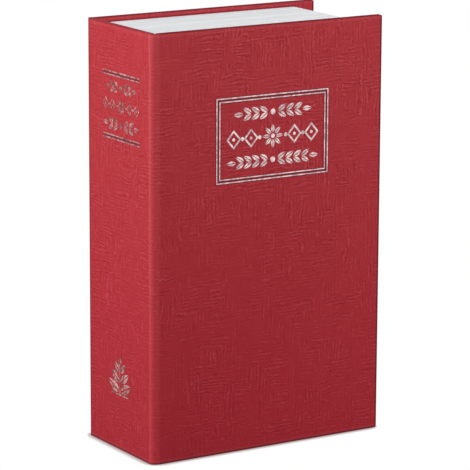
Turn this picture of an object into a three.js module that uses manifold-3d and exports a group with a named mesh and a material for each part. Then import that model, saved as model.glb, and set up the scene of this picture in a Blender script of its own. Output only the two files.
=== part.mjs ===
// A book safe: a hardback book standing on its tail edge, whose moulded page block
// hides a folded steel tray with a hinged lid and a wafer cam lock.
// Millimetres. +Z runs up the spine, -X is the spine, -Y is the front cover.
// The origin is under the middle of the book, on the surface it stands on.

import * as THREE from 'three';
import { mergeVertices } from 'three/addons/utils/BufferGeometryUtils.js';
import Module from 'manifold-3d';

const wasm = await Module();
wasm.setup();

// Overall size of the closed book
const BOOK_HEIGHT = 180;
const BOOK_WIDTH = 112;
const BOOK_DEPTH = 55;

// Case: three greyboards in one sheet of paper, lined inside
const PAPER = 0.3;
const GREYBOARD = 2;
const LINING = 0.2;
const GLUE = 0.05;
const TURN_IN = 13;
const LINING_INSET = 3;
const BOARD_CORNER = 0.8;
const JOINT_EASE = 0.05;

// Page block: one hollow white moulding
const HEAD_SQUARE = 2.2;
const FORE_SQUARE = 9.8;
const SPINE_AIR = 0.45;
const COVER_AIR = 0.3;
const BLOCK_CORNER = 1;
const PAGE_WALL = 1.8;
const RIM_WIDTH = 7;
const SPINE_RIM_WIDTH = 5;
const RIM_THICK = 1.8;
const SKIRT_WALL = 1.5;
const SKIRT_DEPTH = 6;
const GLUE_FLANGE_WIDTH = 5;
const GLUE_FLANGE_THICK = 1.5;
const PAGE_PITCH = 2;
const GROOVE_WIDTH = 0.7;
const GROOVE_DEPTH = 0.4;
const RIB_THICK = 1.2;

// Steel tray and lid
const TRAY_STEEL = 0.8;
const TRAY_CORNER = 2;
const TRAY_AIR = 0.3;
const MOUTH_AIR = 0.3;
const LID_STEEL = 1;
const LID_DROP = 1.85;
const LID_AIR = 0.5;
const LID_CORNER = 1.5;
const LIP_DEPTH = 5;
const LIP_AIR = 0.4;
const LIP_END_CUT = 3;
const LID_OPENS = THREE.MathUtils.degToRad(100);

// Barrel hinge of the lid
const KNUCKLE_RADIUS = 2;
const PIN_RADIUS = 1;
const PIN_HEAD_RADIUS = 1.6;
const PIN_HEAD_THICK = 0.8;
const PIN_AIR = 0.15;
const KNUCKLES = 5;
const KNUCKLE_AIR = 0.3;
const HINGE_LENGTH = 120;
const LEAF_STEEL = 0.8;
const LEAF_WIDTH = 9;
const HINGE_SWING_AIR = 0.3;

// Wafer cam lock
const LOCK_INSET = 16.7;
const BEZEL_RADIUS = 7;
const BEZEL_THICK = 1.5;
const BEZEL_EDGE = 0.5;
const BODY_RADIUS = 5.6;
const BODY_FLAT = 4.9;
const BODY_LENGTH = 12;
const BODY_AIR = 0.2;
const PLUG_RADIUS = 4.2;
const PLUG_AIR = 0.15;
const PLUG_HEAD_RADIUS = 5;
const PLUG_HEAD_THICK = 0.8;
const PLUG_SUNK = 0.2;
const PLUG_STANDOUT = 0.3;
const KEYWAY_WIDTH = 1.2;
const KEYWAY_HEIGHT = 6;
const KEYWAY_DEPTH = 7.6;
const WAFERS = 4;
const WAFER_STEEL = 0.7;
const WAFER_PITCH = 1.4;
const WAFER_WIDTH = 4.4;
const WAFER_HEIGHT = 7;
const WAFER_WINDOW_WIDTH = 2.4;
const WAFER_WINDOW_HEIGHT = 4.6;
const WAFER_SETBACK = 1.8;
const WAFER_AIR = 0.15;
const WAFER_GROOVE_DEPTH = 0.6;
const WASHER_STEEL = 0.6;
const WASHER_RADIUS = 7.8;
const WASHER_TEETH = 14;
const WASHER_TOOTH = 0.9;
const NUT_ACROSS_FLATS = 14;
const NUT_THICK = 2.5;
const CAM_STEEL = 1.5;
const CAM_HUB_RADIUS = 5.5;
const CAM_TIP_WIDTH = 8;
const CAM_TIP_ROUND = 2;
const CAM_TIP_AIR = 0.55;
const TAIL_SIDE = 4.8;
const TAIL_AIR = 0.1;
const CAM_WASHER_RADIUS = 3.4;
const CAM_WASHER_STEEL = 0.6;
const SCREW_RADIUS = 1.45;
const SCREW_AIR = 0.15;
const SCREW_LENGTH = 6;
const SCREW_HEAD_RADIUS = 2.7;
const SCREW_HEAD_THICK = 1.7;
const SCREW_SLOT = 0.6;

// Strike on the tray that the cam goes under
const STRIKE_STEEL = 1;
const STRIKE_REACH = 5.8;
const STRIKE_FOOT = 10;
const STRIKE_HEIGHT = 18;
const STRIKE_AIR = 1;
const STRIKE_BEND = 0.6;

// Air between metal faces that bear on each other, and how far a cut runs past its piece
const SEAT = 0.05;
const OVERRUN = 1;

// Facets of round shapes, and how near two corners are one
const ROUND_FACETS = 32;
const SMALL_FACETS = 20;
const CORNER_FACETS = 4;
const WELD = 1e-4;

// Places of the support ribs, as shares of the inside of the block
const HEAD_RIB_SHARES = [0.2, 0.5, 0.8];
const FORE_RIB_SHARES = [0.14, 0.38, 0.62, 0.86];

// Planes of the case
const HALF_WIDTH = BOOK_WIDTH / 2;
const HALF_DEPTH = BOOK_DEPTH / 2;
const BOARD_OUTER = PAPER + GLUE;
const BOARD_INNER = BOARD_OUTER + GREYBOARD;
const WRAP_INNER = BOARD_INNER + GLUE + PAPER;
const COVER = WRAP_INNER + GLUE + LINING;
const JOINT_RADIUS = COVER + JOINT_EASE;
const BOUND_EDGE = -HALF_WIDTH + JOINT_RADIUS;
const SPINE_EDGE = HALF_DEPTH - JOINT_RADIUS;
const FRONT_INNER = -HALF_DEPTH + COVER;
const BACK_INNER = HALF_DEPTH - COVER;

// Planes of the page block
const BLOCK_LEFT = -HALF_WIDTH + COVER + SPINE_AIR;
const BLOCK_RIGHT = HALF_WIDTH - FORE_SQUARE;
const BLOCK_BOTTOM = HEAD_SQUARE;
const BLOCK_TOP = BOOK_HEIGHT - HEAD_SQUARE;
const BLOCK_BACK = BACK_INNER - GLUE;
const RIM_FACE = FRONT_INNER + COVER_AIR;
const OPEN_LEFT = BLOCK_LEFT + SPINE_RIM_WIDTH;
const OPEN_RIGHT = BLOCK_RIGHT - RIM_WIDTH;
const OPEN_BOTTOM = BLOCK_BOTTOM + RIM_WIDTH;
const OPEN_TOP = BLOCK_TOP - RIM_WIDTH;

// Lid plane and hinge axis: the axis is set far enough from the rim for the lid to lean past it
const LID_FACE = RIM_FACE + LID_DROP;
const LID_BACK = LID_FACE + LID_STEEL;
const HINGE_Y = LID_BACK + SEAT + KNUCKLE_RADIUS;
const HINGE_BELOW_RIM = HINGE_Y - RIM_FACE;
const LID_REACH = HINGE_Y - LID_FACE + HINGE_SWING_AIR;
const HINGE_SETBACK = (LID_REACH - HINGE_BELOW_RIM * Math.cos(LID_OPENS)) / Math.sin(LID_OPENS);
const HINGE_X = OPEN_LEFT + HINGE_SETBACK;
const LEAF_START = KNUCKLE_RADIUS + KNUCKLE_AIR;

// Tray and lid outlines
const TRAY_LEFT = HINGE_X + KNUCKLE_RADIUS + SEAT;
const TRAY_RIGHT = OPEN_RIGHT - TRAY_AIR;
const TRAY_BOTTOM = OPEN_BOTTOM + TRAY_AIR;
const TRAY_TOP = OPEN_TOP - TRAY_AIR;
const TRAY_MOUTH = LID_BACK + SEAT + LEAF_STEEL + MOUTH_AIR;
const TRAY_INSIDE_RIGHT = TRAY_RIGHT - TRAY_STEEL;
const LID_LEFT = HINGE_X + LEAF_START;
const LID_RIGHT = OPEN_RIGHT - LID_AIR;
const LID_BOTTOM = OPEN_BOTTOM + LID_AIR;
const LID_TOP = OPEN_TOP - LID_AIR;

// Lock axis and the planes of its pieces from front to back
const MIDDLE_Z = BOOK_HEIGHT / 2;
const LOCK_X = LID_RIGHT - LOCK_INSET;
const BEZEL_BACK = LID_FACE - SEAT;
const BEZEL_FACE = BEZEL_BACK - BEZEL_THICK;
const BODY_END = LID_FACE + BODY_LENGTH;
const PLUG_FACE = BEZEL_FACE + PLUG_SUNK;
const PLUG_END = BODY_END + PLUG_STANDOUT;
const CAM_FRONT = PLUG_END + SEAT;
const CAM_BACK = CAM_FRONT + CAM_STEEL;
const CAM_WASHER_FRONT = CAM_BACK + SEAT;
const SCREW_HEAD_FRONT = CAM_WASHER_FRONT + CAM_WASHER_STEEL + SEAT;
const STRIKE_BACK = CAM_FRONT - STRIKE_AIR;
const STRIKE_FRONT = STRIKE_BACK - STRIKE_STEEL;
const STRIKE_RIGHT = TRAY_INSIDE_RIGHT - SEAT;
const CAM_REACH = STRIKE_RIGHT - STRIKE_STEEL - CAM_TIP_AIR - LOCK_X;

// Colours and finishes
const redPaper = new THREE.MeshStandardMaterial({ color: 0xa8323a, roughness: 0.62, metalness: 0 });
const greyboard = new THREE.MeshStandardMaterial({ color: 0x8a8378, roughness: 0.95, metalness: 0 });
const liningPaper = new THREE.MeshStandardMaterial({ color: 0x2b2b2d, roughness: 0.85, metalness: 0 });
const pageWhite = new THREE.MeshStandardMaterial({ color: 0xe3e5e6, roughness: 0.55, metalness: 0 });
const blackSteel = new THREE.MeshStandardMaterial({ color: 0x1c1d1f, roughness: 0.45, metalness: 0.3 });
const brightSteel = new THREE.MeshStandardMaterial({ color: 0xb9bcc0, roughness: 0.3, metalness: 1 });
const chrome = new THREE.MeshStandardMaterial({ color: 0xd8dade, roughness: 0.12, metalness: 1 });
const brass = new THREE.MeshStandardMaterial({ color: 0xc0a060, roughness: 0.35, metalness: 1 });

// A closed geometry as a solid that can be joined and cut
function solidOf(geometry) {
  const bare = geometry.clone();
  bare.deleteAttribute('normal');
  bare.deleteAttribute('uv');
  const merged = mergeVertices(bare, WELD);
  const corners = merged.index.array;
  const kept = [];
  for (let i = 0; i < corners.length; i += 3) {
    const [a, b, c] = [corners[i], corners[i + 1], corners[i + 2]];
    if (a !== b && b !== c && c !== a) kept.push(a, b, c);
  }
  return new wasm.Manifold(new wasm.Mesh({
    numProp: 3,
    vertProperties: new Float32Array(merged.attributes.position.array),
    triVerts: new Uint32Array(kept),
  }));
}

function geometryOf(solid) {
  const { vertProperties, triVerts } = solid.getMesh();
  const geometry = new THREE.BufferGeometry();
  geometry.setAttribute('position', new THREE.BufferAttribute(vertProperties, 3));
  geometry.setIndex(new THREE.BufferAttribute(triVerts, 1));
  geometry.computeVertexNormals();
  return geometry;
}

function join(...geometries) {
  return geometryOf(geometries.map(solidOf).reduce((whole, next) => whole.add(next)));
}

function cut(geometry, ...tools) {
  return geometryOf(tools.map(solidOf).reduce((rest, tool) => rest.subtract(tool), solidOf(geometry)));
}

function common(first, second) {
  return geometryOf(solidOf(first).intersect(solidOf(second)));
}

// A box between two corners
function box(x0, x1, y0, y1, z0, z1) {
  const geometry = new THREE.BoxGeometry(x1 - x0, y1 - y0, z1 - z0);
  return geometry.translate((x0 + x1) / 2, (y0 + y1) / 2, (z0 + z1) / 2);
}

// A rectangle whose left and right corners are rounded by their own radii
function panel(left, right, bottom, top, leftRound, rightRound) {
  const outline = new THREE.Shape();
  outline.moveTo(left + leftRound, bottom);
  outline.lineTo(right - rightRound, bottom);
  if (rightRound > 0) outline.absarc(right - rightRound, bottom + rightRound, rightRound, -Math.PI / 2, 0);
  outline.lineTo(right, top - rightRound);
  if (rightRound > 0) outline.absarc(right - rightRound, top - rightRound, rightRound, 0, Math.PI / 2);
  outline.lineTo(left + leftRound, top);
  if (leftRound > 0) outline.absarc(left + leftRound, top - leftRound, leftRound, Math.PI / 2, Math.PI);
  outline.lineTo(left, bottom + leftRound);
  if (leftRound > 0) {
    outline.absarc(left + leftRound, bottom + leftRound, leftRound, Math.PI, Math.PI * 1.5);
  }
  return outline;
}

// An outline drawn in X and Z, made thick along Y
function slab(outline, y0, y1, facets = CORNER_FACETS) {
  const settings = { depth: y1 - y0, bevelEnabled: false, curveSegments: facets };
  return new THREE.ExtrudeGeometry(outline, settings).rotateX(Math.PI / 2).translate(0, y1, 0);
}

// An outline drawn in X and Y, made tall along Z
function column(outline, z0, z1, facets = CORNER_FACETS) {
  const settings = { depth: z1 - z0, bevelEnabled: false, curveSegments: facets };
  return new THREE.ExtrudeGeometry(outline, settings).translate(0, 0, z0);
}

// A round bar along Y through the lock axis
function lockBar(radius, y0, y1, facets = ROUND_FACETS) {
  const bar = new THREE.CylinderGeometry(radius, radius, y1 - y0, facets);
  return bar.translate(LOCK_X, (y0 + y1) / 2, MIDDLE_Z);
}

// A box centred on the lock axis
function lockBox(width, height, y0, y1) {
  const [halfWidth, halfHeight] = [width / 2, height / 2];
  return box(LOCK_X - halfWidth, LOCK_X + halfWidth, y0, y1, MIDDLE_Z - halfHeight, MIDDLE_Z + halfHeight);
}

// A round bar along Z on the hinge axis
function hingeBar(radius, z0, z1, facets = SMALL_FACETS) {
  const bar = new THREE.CylinderGeometry(radius, radius, z1 - z0, facets).rotateX(Math.PI / 2);
  return bar.translate(HINGE_X, HINGE_Y, (z0 + z1) / 2);
}

// Cover pieces are measured inwards from the outer face; side is -1 in front and 1 at the back
function between(side, depth0, depth1) {
  const [a, b] = [side * (HALF_DEPTH - depth0), side * (HALF_DEPTH - depth1)];
  return [Math.min(a, b), Math.max(a, b)];
}

// Paper round a cover board: outer face, three edges and three turn-ins
function coverWrap(side) {
  const inside = Math.max(BOARD_CORNER - PAPER, 0);
  const whole = panel(BOUND_EDGE, HALF_WIDTH, 0, BOOK_HEIGHT, 0, BOARD_CORNER);
  const pocket = panel(
    BOUND_EDGE - OVERRUN, HALF_WIDTH - PAPER, PAPER, BOOK_HEIGHT - PAPER, 0, inside);
  const window = panel(
    BOUND_EDGE - OVERRUN, HALF_WIDTH - TURN_IN, TURN_IN, BOOK_HEIGHT - TURN_IN, 0, 0);
  return cut(
    slab(whole, ...between(side, 0, WRAP_INNER)),
    slab(pocket, ...between(side, PAPER, WRAP_INNER - PAPER)),
    slab(window, ...between(side, PAPER + GLUE, WRAP_INNER + OVERRUN)),
  );
}

function coverBoard(side) {
  const round = Math.max(BOARD_CORNER - BOARD_OUTER, 0);
  const outline = panel(
    BOUND_EDGE, HALF_WIDTH - BOARD_OUTER, BOARD_OUTER, BOOK_HEIGHT - BOARD_OUTER, 0, round);
  return slab(outline, ...between(side, BOARD_OUTER, BOARD_INNER));
}

// Lining sheet, pressed down onto the board inside the frame of turn-ins
function coverLining(side) {
  const sheet = panel(
    BOUND_EDGE, HALF_WIDTH - LINING_INSET, LINING_INSET, BOOK_HEIGHT - LINING_INSET, 0, 0);
  const pressed = TURN_IN + GLUE;
  const hollow = pressed + LINING;
  const floor = panel(BOUND_EDGE, HALF_WIDTH - pressed, pressed, BOOK_HEIGHT - pressed, 0, 0);
  const dip = panel(
    BOUND_EDGE - OVERRUN, HALF_WIDTH - hollow, hollow, BOOK_HEIGHT - hollow, 0, 0);
  const raised = join(
    slab(sheet, ...between(side, WRAP_INNER + GLUE, COVER)),
    slab(floor, ...between(side, BOARD_INNER + GLUE, COVER)),
  );
  return cut(raised, slab(dip, ...between(side, BOARD_INNER + GLUE + LINING, COVER + OVERRUN)));
}

// Paper round the spine board, turned in at head and tail only
function spineWrap() {
  const [outer, inner] = [-HALF_WIDTH, -HALF_WIDTH + WRAP_INNER];
  const edge = SPINE_EDGE + OVERRUN;
  return cut(
    box(outer, inner, -SPINE_EDGE, SPINE_EDGE, 0, BOOK_HEIGHT),
    box(outer + PAPER, inner - PAPER, -edge, edge, PAPER, BOOK_HEIGHT - PAPER),
    box(outer + PAPER + GLUE, inner + OVERRUN, -edge, edge, TURN_IN, BOOK_HEIGHT - TURN_IN),
  );
}

function spineBoard() {
  const [outer, inner] = [-HALF_WIDTH + BOARD_OUTER, -HALF_WIDTH + BOARD_INNER];
  return box(outer, inner, -SPINE_EDGE, SPINE_EDGE, BOARD_OUTER, BOOK_HEIGHT - BOARD_OUTER);
}

function spineLining() {
  const [floor, face] = [-HALF_WIDTH + BOARD_INNER + GLUE, -HALF_WIDTH + COVER];
  const pressed = TURN_IN + GLUE;
  const hollow = pressed + LINING;
  const edge = SPINE_EDGE + OVERRUN;
  const raised = join(
    box(face - LINING, face, -SPINE_EDGE, SPINE_EDGE, LINING_INSET, BOOK_HEIGHT - LINING_INSET),
    box(floor, face, -SPINE_EDGE, SPINE_EDGE, pressed, BOOK_HEIGHT - pressed),
  );
  return cut(raised, box(floor + LINING, face + OVERRUN, -edge, edge, hollow, BOOK_HEIGHT - hollow));
}

// Folded paper that carries a board round the corner of the book
function jointStrip(side) {
  const thick = PAPER + GLUE + PAPER;
  const gap = GLUE / (JOINT_RADIUS - thick);
  const from = Math.PI + gap;
  const to = Math.PI * 1.5 - gap;
  const outline = new THREE.Shape();
  outline.absarc(BOUND_EDGE, -SPINE_EDGE, JOINT_RADIUS, from, to, false);
  outline.absarc(BOUND_EDGE, -SPINE_EDGE, JOINT_RADIUS - thick, to, from, true);
  const strip = column(outline, 0, BOOK_HEIGHT, SMALL_FACETS / 2);
  return side < 0 ? strip : strip.rotateX(Math.PI).translate(0, 0, BOOK_HEIGHT);
}

// Outline of the block, drawn in by inset on the three sides that show pages
function blockOutline(inset) {
  const round = Math.max(BLOCK_CORNER - inset, 0);
  return panel(BLOCK_LEFT, BLOCK_RIGHT - inset, BLOCK_BOTTOM + inset, BLOCK_TOP - inset, 0, round);
}

// Head, fore-edge and tail of the block: raised bands, one for each few leaves, on a plain core
function pagedBody() {
  const depth = BLOCK_BACK - RIM_FACE;
  const bands = Math.max(Math.floor(depth / PAGE_PITCH), 1);
  const pitch = (depth + GROOVE_WIDTH) / bands;
  const pieces = [slab(blockOutline(GROOVE_DEPTH), RIM_FACE, BLOCK_BACK)];
  for (let i = 0; i < bands; i += 1) {
    const start = RIM_FACE + i * pitch;
    pieces.push(slab(blockOutline(0), start, start + pitch - GROOVE_WIDTH));
  }
  return join(...pieces);
}

// Walls that stand between the outer wall and the tray, and hold the tray in the middle;
// on the spine side they stand between the tray's ends and the hinge pin, behind the lid's swing
function supportRibs() {
  const [front, back] = [RIM_FACE + RIM_THICK, BLOCK_BACK];
  const half = RIB_THICK / 2;
  const wall = PAGE_WALL / 2;
  const [trayWidth, trayHeight] = [TRAY_RIGHT - TRAY_LEFT, TRAY_TOP - TRAY_BOTTOM];
  const ribs = [];
  for (const share of HEAD_RIB_SHARES) {
    const x = TRAY_LEFT + share * trayWidth;
    ribs.push(box(x - half, x + half, front, back, BLOCK_BOTTOM + wall, TRAY_BOTTOM - TRAY_AIR));
    ribs.push(box(x - half, x + half, front, back, TRAY_TOP + TRAY_AIR, BLOCK_TOP - wall));
  }
  for (const share of FORE_RIB_SHARES) {
    const z = TRAY_BOTTOM + share * trayHeight;
    ribs.push(box(TRAY_RIGHT + TRAY_AIR, BLOCK_RIGHT - wall, front, back, z - half, z + half));
  }
  const pinHalf = HINGE_LENGTH / 2 + PIN_HEAD_THICK;
  const spineRibs = [(TRAY_BOTTOM + MIDDLE_Z - pinHalf) / 2, (TRAY_TOP + MIDDLE_Z + pinHalf) / 2];
  for (const z of spineRibs) {
    ribs.push(box(BLOCK_LEFT + wall, TRAY_LEFT - TRAY_AIR, HINGE_Y, back, z - half, z + half));
  }
  return ribs;
}

// Front rim with its skirt, and the flange that is glued to the back cover
function rimAndFlange() {
  const opening = panel(OPEN_LEFT, OPEN_RIGHT, OPEN_BOTTOM, OPEN_TOP, 0, 0);
  const skirt = panel(
    OPEN_LEFT - SKIRT_WALL, OPEN_RIGHT + SKIRT_WALL, OPEN_BOTTOM - SKIRT_WALL, OPEN_TOP + SKIRT_WALL, 0, 0);
  const flangeOpening = panel(
    BLOCK_LEFT + GLUE_FLANGE_WIDTH, BLOCK_RIGHT - GLUE_FLANGE_WIDTH,
    BLOCK_BOTTOM + GLUE_FLANGE_WIDTH, BLOCK_TOP - GLUE_FLANGE_WIDTH, 0, 0);
  const solidRim = join(
    slab(blockOutline(GROOVE_DEPTH), RIM_FACE, RIM_FACE + RIM_THICK),
    slab(skirt, RIM_FACE, RIM_FACE + SKIRT_DEPTH),
  );
  const rim = cut(solidRim, slab(opening, RIM_FACE - OVERRUN, RIM_FACE + SKIRT_DEPTH + OVERRUN));
  const flange = cut(
    slab(blockOutline(GROOVE_DEPTH), BLOCK_BACK - GLUE_FLANGE_THICK, BLOCK_BACK),
    slab(flangeOpening, BLOCK_BACK - GLUE_FLANGE_THICK - OVERRUN, BLOCK_BACK + OVERRUN),
  );
  return [rim, flange];
}

function pageFrame() {
  const hollow = panel(
    BLOCK_LEFT + PAGE_WALL, BLOCK_RIGHT - PAGE_WALL, BLOCK_BOTTOM + PAGE_WALL, BLOCK_TOP - PAGE_WALL, 0, 0);
  const walls = cut(pagedBody(), slab(hollow, RIM_FACE - OVERRUN, BLOCK_BACK + OVERRUN));
  return join(walls, ...rimAndFlange(), ...supportRibs());
}

// Folded steel tray, open towards the front cover
function tray() {
  const inside = Math.max(TRAY_CORNER - TRAY_STEEL, 0);
  const outer = panel(TRAY_LEFT, TRAY_RIGHT, TRAY_BOTTOM, TRAY_TOP, TRAY_CORNER, TRAY_CORNER);
  const inner = panel(
    TRAY_LEFT + TRAY_STEEL, TRAY_INSIDE_RIGHT, TRAY_BOTTOM + TRAY_STEEL, TRAY_TOP - TRAY_STEEL,
    inside, inside);
  const shell = slab(outer, TRAY_MOUTH, BLOCK_BACK);
  return cut(shell, slab(inner, TRAY_MOUTH - OVERRUN, BLOCK_BACK - TRAY_STEEL));
}

// Hole in the lid for the lock body, with the body's two flats
function lockHole(air, y0, y1) {
  const across = 2 * (BODY_FLAT + air);
  const tall = 2 * (BODY_RADIUS + air) + OVERRUN;
  return common(lockBar(BODY_RADIUS + air, y0, y1), lockBox(across, tall, y0, y1));
}

// Flat lid with lips turned down inside the tray on its three free sides
function lid() {
  const outline = panel(LID_LEFT, LID_RIGHT, LID_BOTTOM, LID_TOP, 0, LID_CORNER);
  const lipBack = LID_BACK + LIP_DEPTH;
  const right = TRAY_INSIDE_RIGHT - LIP_AIR;
  const bottom = TRAY_BOTTOM + TRAY_STEEL + LIP_AIR;
  const top = TRAY_TOP - TRAY_STEEL - LIP_AIR;
  const start = LID_LEFT + LEAF_WIDTH + LIP_END_CUT;
  const end = right - LIP_END_CUT;
  const whole = join(
    slab(outline, LID_FACE, LID_BACK),
    box(right - LID_STEEL, right, LID_FACE, lipBack, bottom + LIP_END_CUT, top - LIP_END_CUT),
    box(start, end, LID_FACE, lipBack, bottom, bottom + LID_STEEL),
    box(start, end, LID_FACE, lipBack, top - LID_STEEL, top),
  );
  return cut(whole, lockHole(BODY_AIR, LID_FACE - OVERRUN, LID_BACK + OVERRUN));
}

// The stretch of the hinge that knuckle i takes
function knuckleSpan(i) {
  const step = HINGE_LENGTH / KNUCKLES;
  const start = MIDDLE_Z - HINGE_LENGTH / 2 + i * step;
  return [start + KNUCKLE_AIR / 2, start + step - KNUCKLE_AIR / 2];
}

// A leaf of the hinge: a plate and every second knuckle; first is 0 or 1
function hingeLeaf(first, plate, tab) {
  const pieces = [plate];
  for (let i = first; i < KNUCKLES; i += 2) {
    const [z0, z1] = knuckleSpan(i);
    pieces.push(hingeBar(KNUCKLE_RADIUS, z0, z1), tab(z0, z1));
  }
  const half = HINGE_LENGTH / 2 + OVERRUN;
  return cut(join(...pieces), hingeBar(PIN_RADIUS + PIN_AIR, MIDDLE_Z - half, MIDDLE_Z + half));
}

// Tray leaf: lies on the outside of the tray's spine wall
function trayHingeLeaf() {
  const [z0] = knuckleSpan(0);
  const [, z1] = knuckleSpan(KNUCKLES - 1);
  const face = HINGE_X + KNUCKLE_RADIUS;
  const plate = box(face - LEAF_STEEL, face, HINGE_Y + LEAF_START, HINGE_Y + LEAF_START + LEAF_WIDTH, z0, z1);
  const tab = (a, b) => box(face - LEAF_STEEL, face, HINGE_Y, HINGE_Y + LEAF_START + SEAT, a, b);
  return hingeLeaf(0, plate, tab);
}

// Lid leaf: lies on the inside of the lid
function lidHingeLeaf() {
  const [z0] = knuckleSpan(0);
  const [, z1] = knuckleSpan(KNUCKLES - 1);
  const face = HINGE_Y - KNUCKLE_RADIUS;
  const plate = box(HINGE_X + LEAF_START, HINGE_X + LEAF_START + LEAF_WIDTH, face, face + LEAF_STEEL, z0, z1);
  const tab = (a, b) => box(HINGE_X, HINGE_X + LEAF_START + SEAT, face, face + LEAF_STEEL, a, b);
  return hingeLeaf(1, plate, tab);
}

// Hinge pin with a peened head at each end
function hingePin() {
  const [z0] = knuckleSpan(0);
  const [, z1] = knuckleSpan(KNUCKLES - 1);
  const [bottom, top] = [z0 - SEAT, z1 + SEAT];
  return join(
    hingeBar(PIN_RADIUS, bottom - PIN_HEAD_THICK, top + PIN_HEAD_THICK),
    hingeBar(PIN_HEAD_RADIUS, bottom - PIN_HEAD_THICK, bottom),
    hingeBar(PIN_HEAD_RADIUS, top, top + PIN_HEAD_THICK),
  );
}

// Bent strike: its foot stands on the tray's wall and its leg reaches over the cam
function catchPlate() {
  const outline = new THREE.Shape();
  const outerBend = STRIKE_BEND + STRIKE_STEEL;
  const [left, right] = [STRIKE_RIGHT - STRIKE_REACH, STRIKE_RIGHT];
  const foot = STRIKE_FRONT + STRIKE_FOOT;
  outline.moveTo(left, STRIKE_FRONT);
  outline.absarc(right - outerBend, STRIKE_FRONT + outerBend, outerBend, -Math.PI / 2, 0, false);
  outline.lineTo(right, foot);
  outline.lineTo(right - STRIKE_STEEL, foot);
  outline.absarc(right - outerBend, STRIKE_FRONT + outerBend, STRIKE_BEND, 0, -Math.PI / 2, true);
  outline.lineTo(left, STRIKE_BACK);
  return column(outline, MIDDLE_Z - STRIKE_HEIGHT / 2, MIDDLE_Z + STRIKE_HEIGHT / 2);
}

// Lock housing: turned bezel and body, bored for the plug, with two flats and two wafer grooves
function lockHousing() {
  const bore = PLUG_RADIUS + PLUG_AIR;
  const counterbore = PLUG_HEAD_RADIUS + PLUG_AIR;
  const shoulder = PLUG_FACE + PLUG_HEAD_THICK + PLUG_AIR;
  const profile = [
    [counterbore, BEZEL_FACE],
    [BEZEL_RADIUS - BEZEL_EDGE, BEZEL_FACE],
    [BEZEL_RADIUS, BEZEL_FACE + BEZEL_EDGE],
    [BEZEL_RADIUS, BEZEL_BACK],
    [BODY_RADIUS, BEZEL_BACK],
    [BODY_RADIUS, BODY_END],
    [bore, BODY_END],
    [bore, shoulder],
    [counterbore, shoulder],
    [counterbore, BEZEL_FACE],
  ].map(([radius, y]) => new THREE.Vector2(radius, y));
  const turned = new THREE.LatheGeometry(profile, ROUND_FACETS).translate(LOCK_X, 0, MIDDLE_Z);
  const tall = 2 * BODY_RADIUS + OVERRUN;
  const kept = join(
    lockBar(BEZEL_RADIUS + OVERRUN, BEZEL_FACE - OVERRUN, BEZEL_BACK),
    lockBox(2 * BODY_FLAT, tall, BEZEL_BACK - OVERRUN, BODY_END + OVERRUN),
  );
  const grooveHeight = 2 * (bore + WAFER_GROOVE_DEPTH);
  const grooves = lockBox(WAFER_WIDTH + 2 * WAFER_AIR, grooveHeight, shoulder, BODY_END + OVERRUN);
  return cut(common(turned, kept), grooves);
}

// Front plane of wafer i, counted from the keyway's mouth
function waferFront(i) {
  return PLUG_FACE + WAFER_SETBACK + i * WAFER_PITCH;
}

// Lock plug: head, barrel and square tail, cut by the keyway, the wafer slots and the screw hole
function lockPlug() {
  const tailEnd = CAM_BACK - TAIL_AIR;
  const whole = join(
    lockBar(PLUG_HEAD_RADIUS, PLUG_FACE, PLUG_FACE + PLUG_HEAD_THICK),
    lockBar(PLUG_RADIUS, PLUG_FACE, PLUG_END),
    lockBox(TAIL_SIDE, TAIL_SIDE, PLUG_FACE + PLUG_HEAD_THICK, tailEnd),
  );
  const keyway = lockBox(KEYWAY_WIDTH, KEYWAY_HEIGHT, PLUG_FACE - OVERRUN, PLUG_FACE + KEYWAY_DEPTH);
  const screwHole = lockBar(
    SCREW_RADIUS + SCREW_AIR, SCREW_HEAD_FRONT - SCREW_LENGTH - SCREW_AIR, tailEnd + OVERRUN, SMALL_FACETS);
  const slots = [];
  for (let i = 0; i < WAFERS; i += 1) {
    const front = waferFront(i);
    slots.push(lockBox(
      WAFER_WIDTH + 2 * WAFER_AIR, 2 * PLUG_RADIUS + OVERRUN,
      front - WAFER_AIR, front + WAFER_STEEL + WAFER_AIR));
  }
  return cut(whole, keyway, screwHole, ...slots);
}

// A wafer drawn in flush with the plug, as the key holds it
function lockWafer(i) {
  const front = waferFront(i);
  const back = front + WAFER_STEEL;
  return cut(
    lockBox(WAFER_WIDTH, WAFER_HEIGHT, front, back),
    lockBox(WAFER_WINDOW_WIDTH, WAFER_WINDOW_HEIGHT, front - OVERRUN, back + OVERRUN),
  );
}

// Washer with teeth round its rim
function lockWasher() {
  const outline = new THREE.Shape();
  for (let i = 0; i < 2 * WASHER_TEETH; i += 1) {
    const angle = (i * Math.PI) / WASHER_TEETH;
    const radius = i % 2 ? WASHER_RADIUS - WASHER_TOOTH : WASHER_RADIUS;
    const [x, z] = [LOCK_X + radius * Math.cos(angle), MIDDLE_Z + radius * Math.sin(angle)];
    if (i === 0) outline.moveTo(x, z);
    else outline.lineTo(x, z);
  }
  const front = LID_BACK + SEAT;
  const back = front + WASHER_STEEL;
  return cut(slab(outline, front, back), lockBar(BODY_RADIUS + BODY_AIR, front - OVERRUN, back + OVERRUN));
}

function lockNut() {
  const front = LID_BACK + SEAT + WASHER_STEEL + SEAT;
  const back = front + NUT_THICK;
  const cornerRadius = NUT_ACROSS_FLATS / Math.sqrt(3);
  return cut(
    lockBar(cornerRadius, front, back, 6),
    lockBar(BODY_RADIUS + BODY_AIR, front - OVERRUN, back + OVERRUN),
  );
}

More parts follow.
